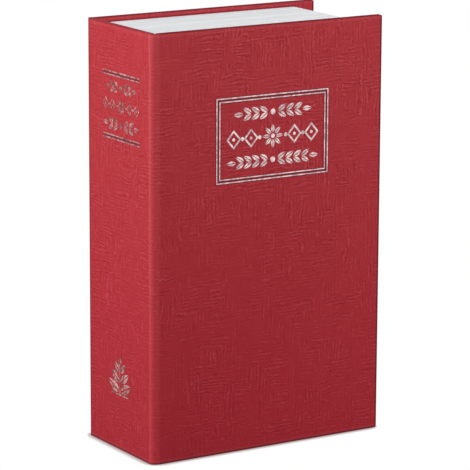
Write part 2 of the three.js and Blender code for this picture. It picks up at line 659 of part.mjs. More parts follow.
// Flat cam, hanging straight down while the lock is open
function lockCam() {
  const halfTip = CAM_TIP_WIDTH / 2;
  const tip = MIDDLE_Z - CAM_REACH;
  const spread = Math.asin(Math.min(halfTip / CAM_HUB_RADIUS, 1));
  const outline = new THREE.Shape();
  outline.absarc(LOCK_X, MIDDLE_Z, CAM_HUB_RADIUS, -Math.PI / 2 + spread, Math.PI * 1.5 - spread, false);
  outline.lineTo(LOCK_X - halfTip, tip + CAM_TIP_ROUND);
  outline.absarc(
    LOCK_X - halfTip + CAM_TIP_ROUND, tip + CAM_TIP_ROUND, CAM_TIP_ROUND, Math.PI, Math.PI * 1.5, false);
  outline.absarc(
    LOCK_X + halfTip - CAM_TIP_ROUND, tip + CAM_TIP_ROUND, CAM_TIP_ROUND, -Math.PI / 2, 0, false);
  const side = TAIL_SIDE + 2 * TAIL_AIR;
  return cut(
    slab(outline, CAM_FRONT, CAM_BACK, SMALL_FACETS / 2),
    lockBox(side, side, CAM_FRONT - OVERRUN, CAM_BACK + OVERRUN),
  );
}

function camWasher() {
  const back = CAM_WASHER_FRONT + CAM_WASHER_STEEL;
  return cut(
    lockBar(CAM_WASHER_RADIUS, CAM_WASHER_FRONT, back),
    lockBar(SCREW_RADIUS + SCREW_AIR, CAM_WASHER_FRONT - OVERRUN, back + OVERRUN, SMALL_FACETS),
  );
}

// Slotted pan-head screw in the plug's tail
function camScrew() {
  const head = SCREW_HEAD_FRONT + SCREW_HEAD_THICK;
  const whole = join(
    lockBar(SCREW_HEAD_RADIUS, SCREW_HEAD_FRONT, head),
    lockBar(SCREW_RADIUS, SCREW_HEAD_FRONT - SCREW_LENGTH, head, SMALL_FACETS),
  );
  const slot = lockBox(2 * SCREW_HEAD_RADIUS + OVERRUN, SCREW_SLOT, head - SCREW_SLOT, head + OVERRUN);
  return cut(whole, slot);
}

const book = new THREE.Group();

function add(name, geometry, material) {
  const mesh = new THREE.Mesh(geometry, material);
  mesh.name = name;
  book.add(mesh);
}

add('back_board', coverBoard(1), greyboard);
add('back_wrap', coverWrap(1), redPaper);
add('back_endpaper', coverLining(1), liningPaper);
add('back_joint', jointStrip(1), redPaper);
add('spine_board', spineBoard(), greyboard);
add('spine_wrap', spineWrap(), redPaper);
add('spine_lining', spineLining(), liningPaper);
add('front_joint', jointStrip(-1), redPaper);
add('front_board', coverBoard(-1), greyboard);
add('front_wrap', coverWrap(-1), redPaper);
add('front_endpaper', coverLining(-1), liningPaper);
add('page_frame', pageFrame(), pageWhite);
add('tray', tray(), blackSteel);
add('lid', lid(), blackSteel);
add('tray_hinge_leaf', trayHingeLeaf(), blackSteel);
add('lid_hinge_leaf', lidHingeLeaf(), blackSteel);
add('hinge_pin', hingePin(), brightSteel);
add('catch_plate', catchPlate(), brightSteel);
add('lock_housing', lockHousing(), chrome);
add('lock_plug', lockPlug(), chrome);
for (let i = 0; i < WAFERS; i += 1) add(`lock_wafer_${i + 1}`, lockWafer(i), brass);
add('lock_washer', lockWasher(), brightSteel);
add('lock_nut', lockNut(), chrome);
add('lock_cam', lockCam(), brightSteel);
add('cam_washer', camWasher(), brightSteel);
add('cam_screw', camScrew(), brightSteel);

export default book;
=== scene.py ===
import math

import bmesh
import bpy
from mathutils import Matrix, Vector


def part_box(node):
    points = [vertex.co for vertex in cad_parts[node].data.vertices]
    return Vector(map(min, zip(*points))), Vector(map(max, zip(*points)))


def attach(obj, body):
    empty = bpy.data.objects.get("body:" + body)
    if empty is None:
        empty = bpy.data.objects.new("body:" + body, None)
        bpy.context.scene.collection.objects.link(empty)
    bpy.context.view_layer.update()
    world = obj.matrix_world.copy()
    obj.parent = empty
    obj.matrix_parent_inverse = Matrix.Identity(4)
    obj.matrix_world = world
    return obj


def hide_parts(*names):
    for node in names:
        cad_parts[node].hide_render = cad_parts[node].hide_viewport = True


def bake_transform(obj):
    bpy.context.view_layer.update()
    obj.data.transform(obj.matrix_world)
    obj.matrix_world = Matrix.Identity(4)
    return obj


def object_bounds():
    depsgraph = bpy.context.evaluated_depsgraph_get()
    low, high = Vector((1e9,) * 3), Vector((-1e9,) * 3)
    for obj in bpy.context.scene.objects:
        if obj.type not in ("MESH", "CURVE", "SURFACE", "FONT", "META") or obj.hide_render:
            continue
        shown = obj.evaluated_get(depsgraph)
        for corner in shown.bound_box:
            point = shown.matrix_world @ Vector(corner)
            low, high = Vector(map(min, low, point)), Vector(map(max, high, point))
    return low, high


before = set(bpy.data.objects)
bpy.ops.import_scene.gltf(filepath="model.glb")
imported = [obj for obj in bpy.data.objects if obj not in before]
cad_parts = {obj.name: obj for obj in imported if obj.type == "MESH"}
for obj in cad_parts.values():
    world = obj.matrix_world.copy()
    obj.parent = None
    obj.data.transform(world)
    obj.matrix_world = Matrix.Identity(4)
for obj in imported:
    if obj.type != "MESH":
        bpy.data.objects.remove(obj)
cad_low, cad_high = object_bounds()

# Case paper. One sheet of red crepe-embossed paper is glued round three greyboards: it covers
# their outer faces, folds over head, tail and fore-edge and is turned in. Here it is two halves
# that meet down the middle of the spine, and each bends in the joint between two boards.
PAPER = 0.0003
TURN_IN = 0.013
FOLD_RADIUS = 0.0004
FOLD_STEPS = 3
BOARD_CORNER = 0.0008
CORNER_STEPS = 4
JOINT_THICK = 0.00065
# How far the joint stands off a true round, ring by ring from the cover's board to the spine's:
# a flat facet beside the cover, then a round that ends in a crest, where a highlight is painted
JOINT_RELIEF = (-0.0001, -0.000214, -0.000264, -0.000272, -0.000233, -0.000143, -0.00008,
                -0.00005, -0.00004, -0.00003, -0.00002, 0.00002, 0.00003)
JOINT_STEPS = len(JOINT_RELIEF) - 1
CREST_RUN = 0.0006
# How deep the cover's paper sags at some distances from the joint, and how far the fold over
# the head of the joint is bumped up on some of its rings
EDGE_SAG = {0.001: 0.00003, 0.002: 0.000008}
FOLD_BUMP = {5: 0.00012, 6: 0.00025, 7: 0.00012}
SAME_PLACE = 0.000001
FOLD_ANGLE = 1.0
SMOOTH_UNDER = math.radians(35)
# The crepe's wrinkles: how far apart they are, how far they wander in parts of that distance,
# and the sizes of the patterns that bend, end, turn and flatten them
UPRIGHT_SPACING = 0.0018
LEVEL_SPACING = 0.0016
BEND_SIZE = 0.0045
BEND_REACH = 2.4
KINK_SIZE = 0.0012
KINK_REACH = 1.1
WRINKLE_FADE = 0.0015
WRINKLE_STRETCH = 0.35
PATCH_SIZE = 0.010
PRESSED_SIZE = 0.018
FIBRE_SIZE = 0.0005
MOTTLE_SIZE = 0.006
PAPER_SHEEN = 0.05
# RED_HEAD_SHEEN and RED_TAIL are the red with a painted sheen from the light above, paler and whiter at the
# head than at the tail
RED_HEAD_SHEEN = (0.377, 0.0322, 0.0402)
RED_TAIL = (0.369, 0.0220, 0.0328)
RED_SHADE = (0.300, 0.0155, 0.0240)
# RED_CREST is a painted highlight on the crests and inside the head and tail edges; RED_VALLEY is painted
# shade in the valleys, and also the browned red beside the foil
RED_CREST = (0.520, 0.0750, 0.0880)
RED_VALLEY = (0.215, 0.0085, 0.0150)
# A painted highlight along the crest of the front joint
RED_JOINT_HIGHLIGHT = (0.60, 0.120, 0.135)
# Painted shade along the folds, down the back joint and beside the page block
RED_EDGE_SHADE = (0.085, 0.006, 0.012)
# Where the painted highlights and painted shade start, are full and end, measured past the edge or the crest
# they follow
NEAR_SPINE = (0.0013, -0.0001)
CREST_HIGHLIGHT = (-0.0001, 0.0004)
CREST_HIGHLIGHT_FADE = (0.0004, 0.0018)
CORNER_HIGHLIGHT = (-0.0004, 0.0, 0.0004, 0.0028)
CORNER_HIGHLIGHT_HEIGHT = (-0.010, -0.001)
# A painted highlight in a band just inside the head and tail edges
EDGE_HIGHLIGHT = (-0.0019, -0.0012, -0.0006, -0.0002)
HEAD_FOLD = (-0.0005, -0.0001)
TAIL_FOLD = (0.0013, 0.0004)
FORE_FOLD = (-0.0012, -0.0007)
BACK_FOLD = (-0.0007, 0.0005)
INNER_FACE = (0.0005, 0.0003)
BLOCK_START = (0.0, 0.0004)
BLOCK_END = (-0.0002, 0.0004)
BLOCK_GAP_SHADE = (-0.0034, -0.0027, -0.0019, -0.0013)

cover_low, cover_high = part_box("front_wrap")
spine_low, spine_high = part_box("spine_wrap")
board_depth = cover_high.y - cover_low.y
joint_centre = Vector((cover_low.x, spine_low.y, 0))
joint_radius = cover_low.x - spine_low.x


def begin(piece):
    """Makes one piece the selected and active one, in edit mode with nothing in it selected."""
    bpy.ops.object.select_all(action="DESELECT")
    piece.select_set(True)
    bpy.context.view_layer.objects.active = piece
    bpy.ops.object.mode_set(mode="EDIT")
    bpy.ops.mesh.select_all(action="DESELECT")


def done():
    """Goes back from edit mode to whole pieces."""
    bpy.ops.object.mode_set(mode="OBJECT")


def pick_faces(test):
    """Selects the faces that pass a test, and nothing else."""
    bpy.ops.mesh.select_mode(type="FACE")
    bpy.ops.mesh.select_all(action="DESELECT")
    mesh = bmesh.from_edit_mesh(bpy.context.object.data)
    for face in mesh.faces:
        face.select_set(bool(test(face)))
    bmesh.update_edit_mesh(bpy.context.object.data)


def pick_edges(test):
    """Selects the edges that pass a test, and nothing else."""
    bpy.ops.mesh.select_mode(type="EDGE")
    bpy.ops.mesh.select_all(action="DESELECT")
    mesh = bmesh.from_edit_mesh(bpy.context.object.data)
    for edge in [e for e in mesh.edges if test(e)]:
        edge.select_set(True)
    bmesh.update_edit_mesh(bpy.context.object.data)


def block_between(name, low, high):
    """A cuboid from its lowest to its highest corner, with its place in its mesh."""
    low, high = Vector(low), Vector(high)
    bpy.ops.object.select_all(action="DESELECT")
    bpy.ops.mesh.primitive_cube_add(size=1, location=(low + high) / 2)
    piece = bpy.context.object
    piece.name = name
    piece.scale = high - low
    bpy.ops.object.transform_apply(location=True, rotation=True, scale=True)
    return piece


def add_node(tree, kind, links=None, **settings):
    """A shader node; links gives its sockets a value or another node's output."""
    made = tree.nodes.new(kind)
    for name, value in settings.items():
        setattr(made, name, value)
    for name, value in (links or {}).items():
        if isinstance(value, bpy.types.NodeSocket):
            tree.links.new(value, made.inputs[name])
        else:
            made.inputs[name].default_value = value
    return made


def new_finish(name):
    """A new material, its nodes and its shader."""
    material = bpy.data.materials.new(name)
    material.use_nodes = True
    return material, material.node_tree, material.node_tree.nodes["Principled BSDF"]


def reckon(tree, operation, first, second=0.0, third=0.0):
    """What a math node works out."""
    return add_node(tree, "ShaderNodeMath", {0: first, 1: second, 2: third}, operation=operation).outputs[0]


def product(tree, *values):
    """Values multiplied together."""
    result = values[0]
    for value in values[1:]:
        result = reckon(tree, "MULTIPLY", result, value)
    return result


def largest(tree, *values):
    """The largest of some values."""
    result = values[0]
    for value in values[1:]:
        result = reckon(tree, "MAXIMUM", result, value)
    return result


def blend_of(tree, share, first, second):
    """Mixes two colours by a share; sockets 6 and 7 are the node's colours."""
    mixed = add_node(tree, "ShaderNodeMix", data_type="RGBA")
    for socket, value in ((mixed.inputs[0], share), (mixed.inputs[6], first), (mixed.inputs[7], second)):
        if isinstance(value, bpy.types.NodeSocket):
            tree.links.new(value, socket)
        else:
            socket.default_value = value
    return mixed.outputs[2]


def speckle(tree, place, size, detail=2.0, roughness=0.5):
    """Noise whose grains are about the given size in metres."""
    return add_node(tree, "ShaderNodeTexNoise", {
        "Vector": place, "Scale": 1 / size, "Detail": detail, "Roughness": roughness}).outputs["Fac"]


def ramp(tree, value, low, high, start=0.0, end=1.0):
    """Goes smoothly from start to end while the value goes from low to high."""
    return add_node(tree, "ShaderNodeMapRange", {
        "Value": value, "From Min": low, "From Max": high, "To Min": start, "To Max": end},
        interpolation_type="SMOOTHSTEP").outputs[0]


def band(tree, value, start, full, fade, gone):
    """Rises to 1 between start and full, and falls back to 0 between fade and gone."""
    return product(tree, ramp(tree, value, start, full), ramp(tree, value, gone, fade))


def past(edge, distances):
    """The places at some distances past an edge."""
    return [edge + distance for distance in distances]


def relief_on(tree, shader, height, strength, depth):
    """Lets a pattern stand out of a surface, in light and shade."""
    bump = add_node(tree, "ShaderNodeBump", {"Strength": strength, "Distance": depth, "Height": height})
    tree.links.new(bump.outputs[0], shader.inputs["Normal"])


def wrinkles(tree, across, place, stretch, spacing):
    """Short wrinkles side by side: 1 on their crests, -1 in their valleys, 0 where they die away."""
    drawn = add_node(tree, "ShaderNodeMapping", {"Vector": place, "Scale": stretch}).outputs[0]
    straight = reckon(tree, "DIVIDE", across, spacing)
    bent = reckon(tree, "MULTIPLY_ADD", speckle(tree, drawn, BEND_SIZE, 1.0), BEND_REACH, straight)
    kinked = reckon(tree, "MULTIPLY_ADD", speckle(tree, place, KINK_SIZE, 1.0), KINK_REACH, bent)
    wave = reckon(tree, "COSINE", product(tree, kinked, 2 * math.pi))
    return product(tree, wave, ramp(tree, speckle(tree, drawn, WRINKLE_FADE, 2.0, 0.6), 0.42, 0.58))


def crepe_wrinkles(tree, place, x, y, z):
    """Patches of upright and of level wrinkles, pressed flatter in places, and weaker towards the tail, so
    that their painted highlights and shade grow towards the head.
    """
    across = reckon(tree, "MULTIPLY_ADD", y, 0.65, x)
    upright = wrinkles(tree, across, place, (1.0, 1.0, WRINKLE_STRETCH), UPRIGHT_SPACING)
    level = wrinkles(tree, z, place, (WRINKLE_STRETCH, WRINKLE_STRETCH, 1.0), LEVEL_SPACING)
    patches = ramp(tree, speckle(tree, place, PATCH_SIZE, 3.0, 0.65), 0.44, 0.54)
    mixed = add_node(tree, "ShaderNodeMix", {0: patches, 2: upright, 3: level}).outputs[0]
    pressed = ramp(tree, speckle(tree, place, PRESSED_SIZE, 3.0, 0.6), 0.35, 0.65, 0.45, 1.25)
    return product(tree, mixed, pressed, ramp(tree, z, cad_low.z, cad_high.z, 0.85, 1.30))


def red_with_painted_light(tree, place, z, wrinkled):
    """A mottled red with painted light: a painted sheen that pales it towards the head, painted highlights on
    the crests and painted shade in the valleys.
    """
    # A painted sheen that grows towards the head
    red = blend_of(tree, ramp(tree, z, cad_low.z, cad_high.z), (*RED_TAIL, 1), (*RED_HEAD_SHEEN, 1))
    mottle = ramp(tree, speckle(tree, place, MOTTLE_SIZE, 3.0, 0.6), 0.35, 0.65, 0.22, 0.0)
    red = blend_of(tree, mottle, red, (*RED_SHADE, 1))
    # Painted highlights on the crests and painted shade in the valleys
    crests = largest(tree, wrinkled, 0.0)
    valleys = largest(tree, product(tree, wrinkled, -1.0), 0.0)
    red = blend_of(tree, product(tree, crests, 0.30), red, (*RED_CREST, 1))
    return blend_of(tree, product(tree, valleys, 0.30), red, (*RED_VALLEY, 1))


def joint_highlight(tree, y, z, near_spine):
    """How strongly a highlight is painted along the crest of the front joint: more towards the head, and most
    of all round the raised head corner.
    """
    front_way = product(tree, y, -1.0)
    crest = spine_high.y
    crest_highlight = product(tree, ramp(tree, front_way, *past(crest, CREST_HIGHLIGHT)),
                     ramp(tree, front_way, *past(crest, CREST_HIGHLIGHT_FADE), 1.0, 0.32),
                     ramp(tree, z, cad_low.z, cad_high.z, 0.22, 0.38))
    corner_highlight = product(tree, band(tree, front_way, *past(crest, CORNER_HIGHLIGHT)),
                     ramp(tree, z, *past(cad_high.z, CORNER_HIGHLIGHT_HEIGHT), 0.0, 0.30))
    return product(tree, largest(tree, crest_highlight, corner_highlight), near_spine)


def fold_shade(tree, x, y, z, past_end, near_spine):
    """The painted shade along the paper's folds at head, tail and fore-edge and down the back joint, and the
    painted shadow in the gap beside the page block.

    past_end is how far a point lies past the nearer of head and tail, below 0 on the book.
    """
    head_fold = product(tree, ramp(tree, past_end, *HEAD_FOLD), ramp(tree, near_spine, 0.0, 1.0, 1.0, 0.65))
    fore_fold = ramp(tree, x, *past(cad_high.x, FORE_FOLD))
    tail_fold = ramp(tree, z, *past(cad_low.z, TAIL_FOLD), 0.0, 0.8)
    back_fold = product(tree, ramp(tree, y, *past(spine_high.y, BACK_FOLD)), near_spine, 0.8)
    inside = ramp(tree, reckon(tree, "ABSOLUTE", y), *past(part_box("back_wrap")[0].y, INNER_FACE))
    block_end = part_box("page_frame")[1].x
    beside_block = band(tree, x, *past(cover_low.x, BLOCK_START), *past(block_end, BLOCK_END))
    # Painted shadow in the gap where the turn-ins meet the page block
    block_gap_shade = product(tree, band(tree, past_end, *BLOCK_GAP_SHADE), inside, beside_block, 0.60)
    return largest(tree, head_fold, fore_fold, tail_fold, back_fold, block_gap_shade)


def crepe_paper():
    """The red paper, by each point's place at rest: its wrinkles and fibres, with painted highlights and
    painted shade on its crests, its front joint, its edges and its folds.
    """
    material, tree, shader = new_finish("red_crepe_paper")
    place = add_node(tree, "ShaderNodeAttribute", attribute_name="rest_place").outputs["Vector"]
    x, y, z = add_node(tree, "ShaderNodeSeparateXYZ", {0: place}).outputs
    half_height = (cad_high.z - cad_low.z) / 2
    from_middle = reckon(tree, "ABSOLUTE", reckon(tree, "SUBTRACT", z, half_height))
    past_end = reckon(tree, "SUBTRACT", from_middle, half_height)
    near_spine = ramp(tree, x, *past(cover_low.x, NEAR_SPINE))
    wrinkled = crepe_wrinkles(tree, place, x, y, z)
    # A painted highlight in a band just inside the head and tail edges
    edge_highlight = band(tree, past_end, *EDGE_HIGHLIGHT)
    # Painted shade along the folds and a painted shadow beside the page block
    edge_shade = fold_shade(tree, x, y, z, past_end, near_spine)
    red = red_with_painted_light(tree, place, z, wrinkled)
    # A painted highlight along the front joint's crest
    red = blend_of(tree, joint_highlight(tree, y, z, near_spine), red, (*RED_JOINT_HIGHLIGHT, 1))
    red = blend_of(tree, product(tree, edge_highlight, 0.25), red, (*RED_CREST, 1))
    red = blend_of(tree, product(tree, edge_shade, 0.72), red, (*RED_EDGE_SHADE, 1))
    tree.links.new(red, shader.inputs["Base Color"])
    fibres = speckle(tree, place, FIBRE_SIZE, 2.0)
    height = reckon(tree, "MULTIPLY_ADD", fibres, 0.25, product(tree, wrinkled, 0.5))
    rough = largest(tree, ramp(tree, height, -0.3, 0.6, 0.70, 0.55), edge_shade)
    tree.links.new(rough, shader.inputs["Roughness"])
    shader.inputs["Specular IOR Level"].default_value = PAPER_SHEEN
    relief_on(tree, shader, height, 0.55, 0.0002)
    return material


def part_off(sheet, name, test):
    """Takes the faces that pass a test off a sheet, as a piece of their own."""
    begin(sheet)
    pick_faces(test)
    bpy.ops.mesh.separate(type="SELECTED")
    done()
    piece = next(p for p in bpy.context.selected_objects if p is not sheet)
    piece.name = name
    return piece


def sheet_depth(place):
    """How far a place lies under the outer face of the case."""
    if place.x > cover_low.x:
        return place.y - cover_low.y
    if place.y > spine_low.y:
        return place.x - spine_low.x
    return joint_radius - math.hypot(place.x - joint_centre.x, place.y - joint_centre.y)


def way_round(place):
    """How far round the joint a place lies: 0 at the cover's board, 1 at the spine's."""
    arm = place - joint_centre
    if arm.x > 0:
        return 0
    if arm.y > 0:
        return 1
    return math.atan2(-arm.x, -arm.y) / (math.pi / 2)


def fold_sheet():
    """The front half of the sheet in one piece: over the cover's board, round the joint, over the spine's."""
    sheet = block_between("front_case_paper", cover_low, cover_high)
    begin(sheet)
    pick_faces(lambda f: f.normal.x < -0.9)
    bpy.ops.mesh.delete(type="FACE")
    pick_faces(lambda f: f.normal.y > 0.9)
    bpy.ops.mesh.inset(thickness=TURN_IN, use_boundary=False)
    bpy.ops.mesh.delete(type="FACE")
    pick_edges(lambda e: all(v.co.x > cover_high.x - PAPER for v in e.verts)
               and e.calc_length() < board_depth * 1.5)
    bpy.ops.mesh.bevel(offset=BOARD_CORNER, segments=CORNER_STEPS, affect="EDGES")
    pick_edges(lambda e: len(e.link_faces) == 2 and e.calc_face_angle() > FOLD_ANGLE)
    bpy.ops.mesh.bevel(offset=FOLD_RADIUS, segments=FOLD_STEPS, affect="EDGES")
    pick_edges(lambda e: e.is_boundary and all(v.co.x < cover_low.x + PAPER for v in e.verts))
    bpy.ops.mesh.spin(steps=JOINT_STEPS, angle=math.pi / 2, center=joint_centre, axis=(0, 0, 1))
    bpy.ops.mesh.extrude_region_move(TRANSFORM_OT_translate={"value": (0, CREST_RUN, 0)})
    bpy.ops.mesh.extrude_region_move(TRANSFORM_OT_translate={"value": (0, -spine_low.y - CREST_RUN, 0)})
    bpy.ops.mesh.select_all(action="SELECT")
    bpy.ops.mesh.remove_doubles(threshold=SAME_PLACE)
    bpy.ops.mesh.normals_make_consistent(inside=False)
    outer_face = max(bmesh.from_edit_mesh(sheet.data).faces, key=lambda f: f.calc_area())
    if outer_face.normal.y > 0:
        bpy.ops.mesh.flip_normals()
    for cut in EDGE_SAG:
        bpy.ops.mesh.select_all(action="SELECT")
        bpy.ops.mesh.bisect(plane_co=(cover_low.x + cut, 0, 0), plane_no=(1, 0, 0))
    done()
    return sheet


def case_paper():
    """The outer paper of the front half, and its turn-ins on the cover, on the spine and in the joint."""
    sheet = fold_sheet()

    def turned_in(face):
        return sheet_depth(face.calc_center_median()) > FOLD_RADIUS * 1.05

    def on_cover(face):
        return turned_in(face) and way_round(face.calc_center_median()) < 1 / JOINT_STEPS

    def on_spine(face):
        return turned_in(face) and way_round(face.calc_center_median()) > 1 - 1 / JOINT_STEPS

    pieces = [part_off(sheet, "front_turn_in", on_cover), part_off(sheet, "spine_turn_in", on_spine),
              part_off(sheet, "front_joint_turn_in", turned_in), sheet]
    for piece in pieces:
        shape_joint(piece.data, piece is sheet)
    for vert in sheet.data.vertices:
        for cut, sag in EDGE_SAG.items():
            if abs(vert.co.x - cover_low.x - cut) < SAME_PLACE and sheet_depth(vert.co) < FOLD_RADIUS:
                vert.co.y += sag
    return pieces


def shape_joint(mesh, outside):
    """Between the boards the turned-in paper lies on the outer paper, and the joint is creased."""
    squeeze = (JOINT_THICK - PAPER) / board_depth
    step = math.pi / 2 / JOINT_STEPS
    fold_low = cad_high.z - FOLD_RADIUS
    for vert in mesh.vertices:
        arm = Vector((vert.co.x - joint_centre.x, vert.co.y - joint_centre.y, 0))
        if max(arm.x, arm.y) > SAME_PLACE:
            continue
        ring = round(math.atan2(max(0, -arm.x), max(0, -arm.y)) / step)
        at_board = ring in (0, JOINT_STEPS)
        if at_board and not outside:
            continue
        inset = (joint_radius - arm.length) * (1 if at_board else squeeze)
        wanted = joint_radius + JOINT_RELIEF[ring] - inset
        vert.co.x = joint_centre.x + arm.x / arm.length * wanted
        vert.co.y = joint_centre.y + arm.y / arm.length * wanted
        if vert.co.z > fold_low:
            vert.co.z += FOLD_BUMP.get(ring, 0)


def mirrored_copy(piece, name):
    """The same piece for the back of the book."""
    bpy.ops.object.select_all(action="DESELECT")
    piece.select_set(True)
    bpy.context.view_layer.objects.active = piece
    bpy.ops.object.duplicate()
    copy = bpy.context.object
    copy.name = name
    copy.scale.y = -1
    bpy.ops.object.transform_apply(location=True, rotation=True, scale=True)
    begin(copy)
    bpy.ops.mesh.select_all(action="SELECT")
    bpy.ops.mesh.flip_normals()
    done()
    return copy


def give_thickness(piece, thickness, offset=-1):
    """Makes a sheet solid, behind its face with offset -1 and in front of it with 1."""
    bpy.ops.object.select_all(action="DESELECT")
    piece.select_set(True)
    bpy.context.view_layer.objects.active = piece
    wall = piece.modifiers.new("wall", "SOLIDIFY")
    wall.thickness = thickness
    wall.offset = offset
    bpy.ops.object.modifier_apply(modifier=wall.name)
    bpy.ops.object.shade_smooth_by_angle(angle=SMOOTH_UNDER)


def keep_place(piece):
    """Keeps each point's place at rest in an attribute, by which the paper's pattern is drawn."""
    rest_place = piece.data.attributes.new("rest_place", "FLOAT_VECTOR", "POINT")
    for vert in piece.data.vertices:
        rest_place.data[vert.index].vector = vert.co


front_pieces = case_paper()
back_names = ("back_turn_in", "spine_turn_in_back", "back_joint_turn_in", "back_case_paper")
back_pieces = [mirrored_copy(piece, name) for piece, name in zip(front_pieces, back_names)]
red_paper = crepe_paper()
for piece in front_pieces + back_pieces:
    give_thickness(piece, PAPER)
    keep_place(piece)
    piece.data.materials.clear()
    piece.data.materials.append(red_paper)
for bending_piece in front_pieces[2:]:
    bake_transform(bending_piece)
for bending_piece in back_pieces[2:]:
    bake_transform(bending_piece)
for side, pieces in (("front", front_pieces), ("back", back_pieces)):
    cover_turn_in, spine_turn_in, joint_turn_in, outer_paper = pieces
    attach(cover_turn_in, side + "_cover")
    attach(spine_turn_in, "spine")
    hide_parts(side + "_wrap", side + "_joint", "spine_wrap")
    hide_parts(side + "_wrap")
    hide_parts("spine_wrap")
    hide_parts(side + "_joint")

# Foil stamping. Silver foil is hot-stamped into the paper, which is browned beside the rules: on
# the front a double frame round rows of laurel, lozenges and a rosette, on the spine the same rows
# between pairs of rules, and a sprig. It is a skin with no strength, rubbed through in places.
FOIL_THICK = 0.00004
FOIL_CLEAR = 0.00003
RULE = 0.00055
FRONT_PANEL = ((-0.02570, 0.1154), (0.02910, 0.1511))
# Widths from the panel's edge inwards: browned paper, rule, browned paper, rule, browned paper
PANEL_STEPS = (0.00030, 0.00048, 0.00095, 0.00045, 0.00030)
# The height of each row on the book, its reach to either side and the size of its motifs
PANEL_ROWS = ((0.1436, 0.0170, 1.17), (0.1334, 0.0245, 1.36), (0.1235, 0.0205, 1.14))
SPINE_ROWS = ((0.1543, 0.0135, 1.0), (0.1467, 0.0155, 0.90), (0.1388, 0.0135, 1.15))
SPINE_LEFT = -0.0130
SPINE_RIGHT = 0.0172
SPINE_RULES = (0.1604, 0.1590, 0.1339, 0.1325)
ROUND_CORNERS = 14
LEAF_LENGTH = 0.0042
LEAF_BELLY = 0.0008625
MIDRIB = 0.00012
BEAD_RADIUS = 0.0007
LOZENGE_HALF = (0.0026, 0.0030)
LAUREL_START = 0.0022
LAUREL_PITCH = 0.0034
LAUREL_TIP = 0.0035
LAUREL_SPREAD = 0.55
LAUREL_LIFT = 0.0002
ROSETTE_LEAVES = 8
ROSETTE_EYE = 0.0010
LOZENGE_START = 0.0078
LOZENGE_PITCH = 0.0062
LOZENGE_TIP = 0.0045
SPRIG_FOOT = (0.0003, 0.0236)
SPRIG_BAR_HALF = 0.0075
SPRIG_HEIGHT = 0.0130
SPRIG_BUD = 0.0122
SPRIG_START = 0.0016
SPRIG_PITCH = 0.0042
SPRIG_PAIRS = ((0.42, 2.3), (0.58, 1.9), (0.80, 1.4))
GRAIN_SIZE = 0.0012
GREYING_SIZE = 0.0019
FOIL_BRIGHT = (0.82, 0.67, 0.65)
FOIL_GREY = (0.47, 0.34, 0.35)
# The spine's foil is the same silver as the front's; its darker, redder colours are painted shade, standing
# in for the darker reflections it catches
SPINE_FOIL_SHADED_BRIGHT = (0.66, 0.43, 0.40)
SPINE_FOIL_SHADED_GREY = (0.17, 0.060, 0.065)
BURNT_RED = (0.165, 0.030, 0.040)


def stamped_foil(name, bright, grey, worn_share):
    """Silver that is bright in some spots and grey in others, and worn through where its grain is low."""
    material, tree, shader = new_finish(name)
    place = add_node(tree, "ShaderNodeTexCoord").outputs["Object"]
    grain = speckle(tree, place, GRAIN_SIZE, 3.0, 0.65)
    tone = ramp(tree, speckle(tree, place, GREYING_SIZE, 3.0, 0.7), 0.40, 0.62)
    worn = ramp(tree, grain, worn_share - 0.05, worn_share + 0.05, 0.85, 0.0)
    silver = blend_of(tree, tone, (*grey, 1), (*bright, 1))
    tree.links.new(blend_of(tree, worn, silver, (*RED_TAIL, 1)), shader.inputs["Base Color"])
    tree.links.new(reckon(tree, "SUBTRACT", 1.0, worn), shader.inputs["Metallic"])
    tree.links.new(ramp(tree, worn, 0.0, 1.0, 0.34, 0.6), shader.inputs["Roughness"])
    relief_on(tree, shader, grain, 0.5, 0.0002)
    return material


def burnt_paper():
    """The red beside and between the rules, browned by the hot stamp."""
    material, tree, shader = new_finish("burnt_paper")
    place = add_node(tree, "ShaderNodeTexCoord").outputs["Object"]
    grain = speckle(tree, place, GRAIN_SIZE, 3.0, 0.65)
    tree.links.new(blend_of(tree, grain, (*RED_VALLEY, 1), (*BURNT_RED, 1)), shader.inputs["Base Color"])
    shader.inputs["Roughness"].default_value = 0.6
    shader.inputs["Specular IOR Level"].default_value = PAPER_SHEEN
    relief_on(tree, shader, grain, 0.4, 0.0002)
    return material


def flat_shape(name, corners, shape):
    """A flat figure round the origin, facing the reader: a filled ring of corners, each moved by shape."""
    bpy.ops.object.select_all(action="DESELECT")
    bpy.ops.mesh.primitive_circle_add(
        vertices=corners, radius=1, fill_type="NGON", rotation=(math.pi / 2, 0, 0))
    figure = bpy.context.object
    figure.name = name
    bpy.ops.object.transform_apply(location=True, rotation=True, scale=True)
    for vert in figure.data.vertices:
        across, up = shape(vert.co.x, vert.co.z)
        vert.co = (across, 0, up)
    return figure


def hollow_shape(name, corners, shape, rim):
    """A flat figure with its middle cut out, so that a rim is left."""
    figure = flat_shape(name, corners, shape)
    begin(figure)
    bpy.ops.mesh.select_all(action="SELECT")
    bpy.ops.mesh.inset(thickness=rim)
    bpy.ops.mesh.delete(type="FACE")
    done()
    return figure


def half_leaf(x, z):
    """One side of a pointed leaf that grows along +X, beside its midrib."""
    along = (x + 1) / 2
    belly = math.sin(math.pi * along ** 0.8)
    return LEAF_LENGTH * along, MIDRIB + LEAF_BELLY * belly * (z + 1) / 2


def stamp(motifs, figure, across, up, turn=0.0, size=1.0, mirrored=False):
    """Lays a copy of a motif at a place on the panel."""
    bpy.ops.object.select_all(action="DESELECT")
    figure.select_set(True)
    bpy.context.view_layer.objects.active = figure
    bpy.ops.object.duplicate()
    copy = bpy.context.object
    copy.location = (across, 0, up)
    copy.rotation_euler = (0, -turn, 0)
    copy.scale = (size, 1, -size if mirrored else size)
    motifs.append(copy)


def leaf_at(motifs, across, up, turn, size):
    """A whole leaf: two halves with the paper showing between them as a midrib."""
    stamp(motifs, leaf_half, across, up, turn, size)
    stamp(motifs, leaf_half, across, up, turn, size, mirrored=True)


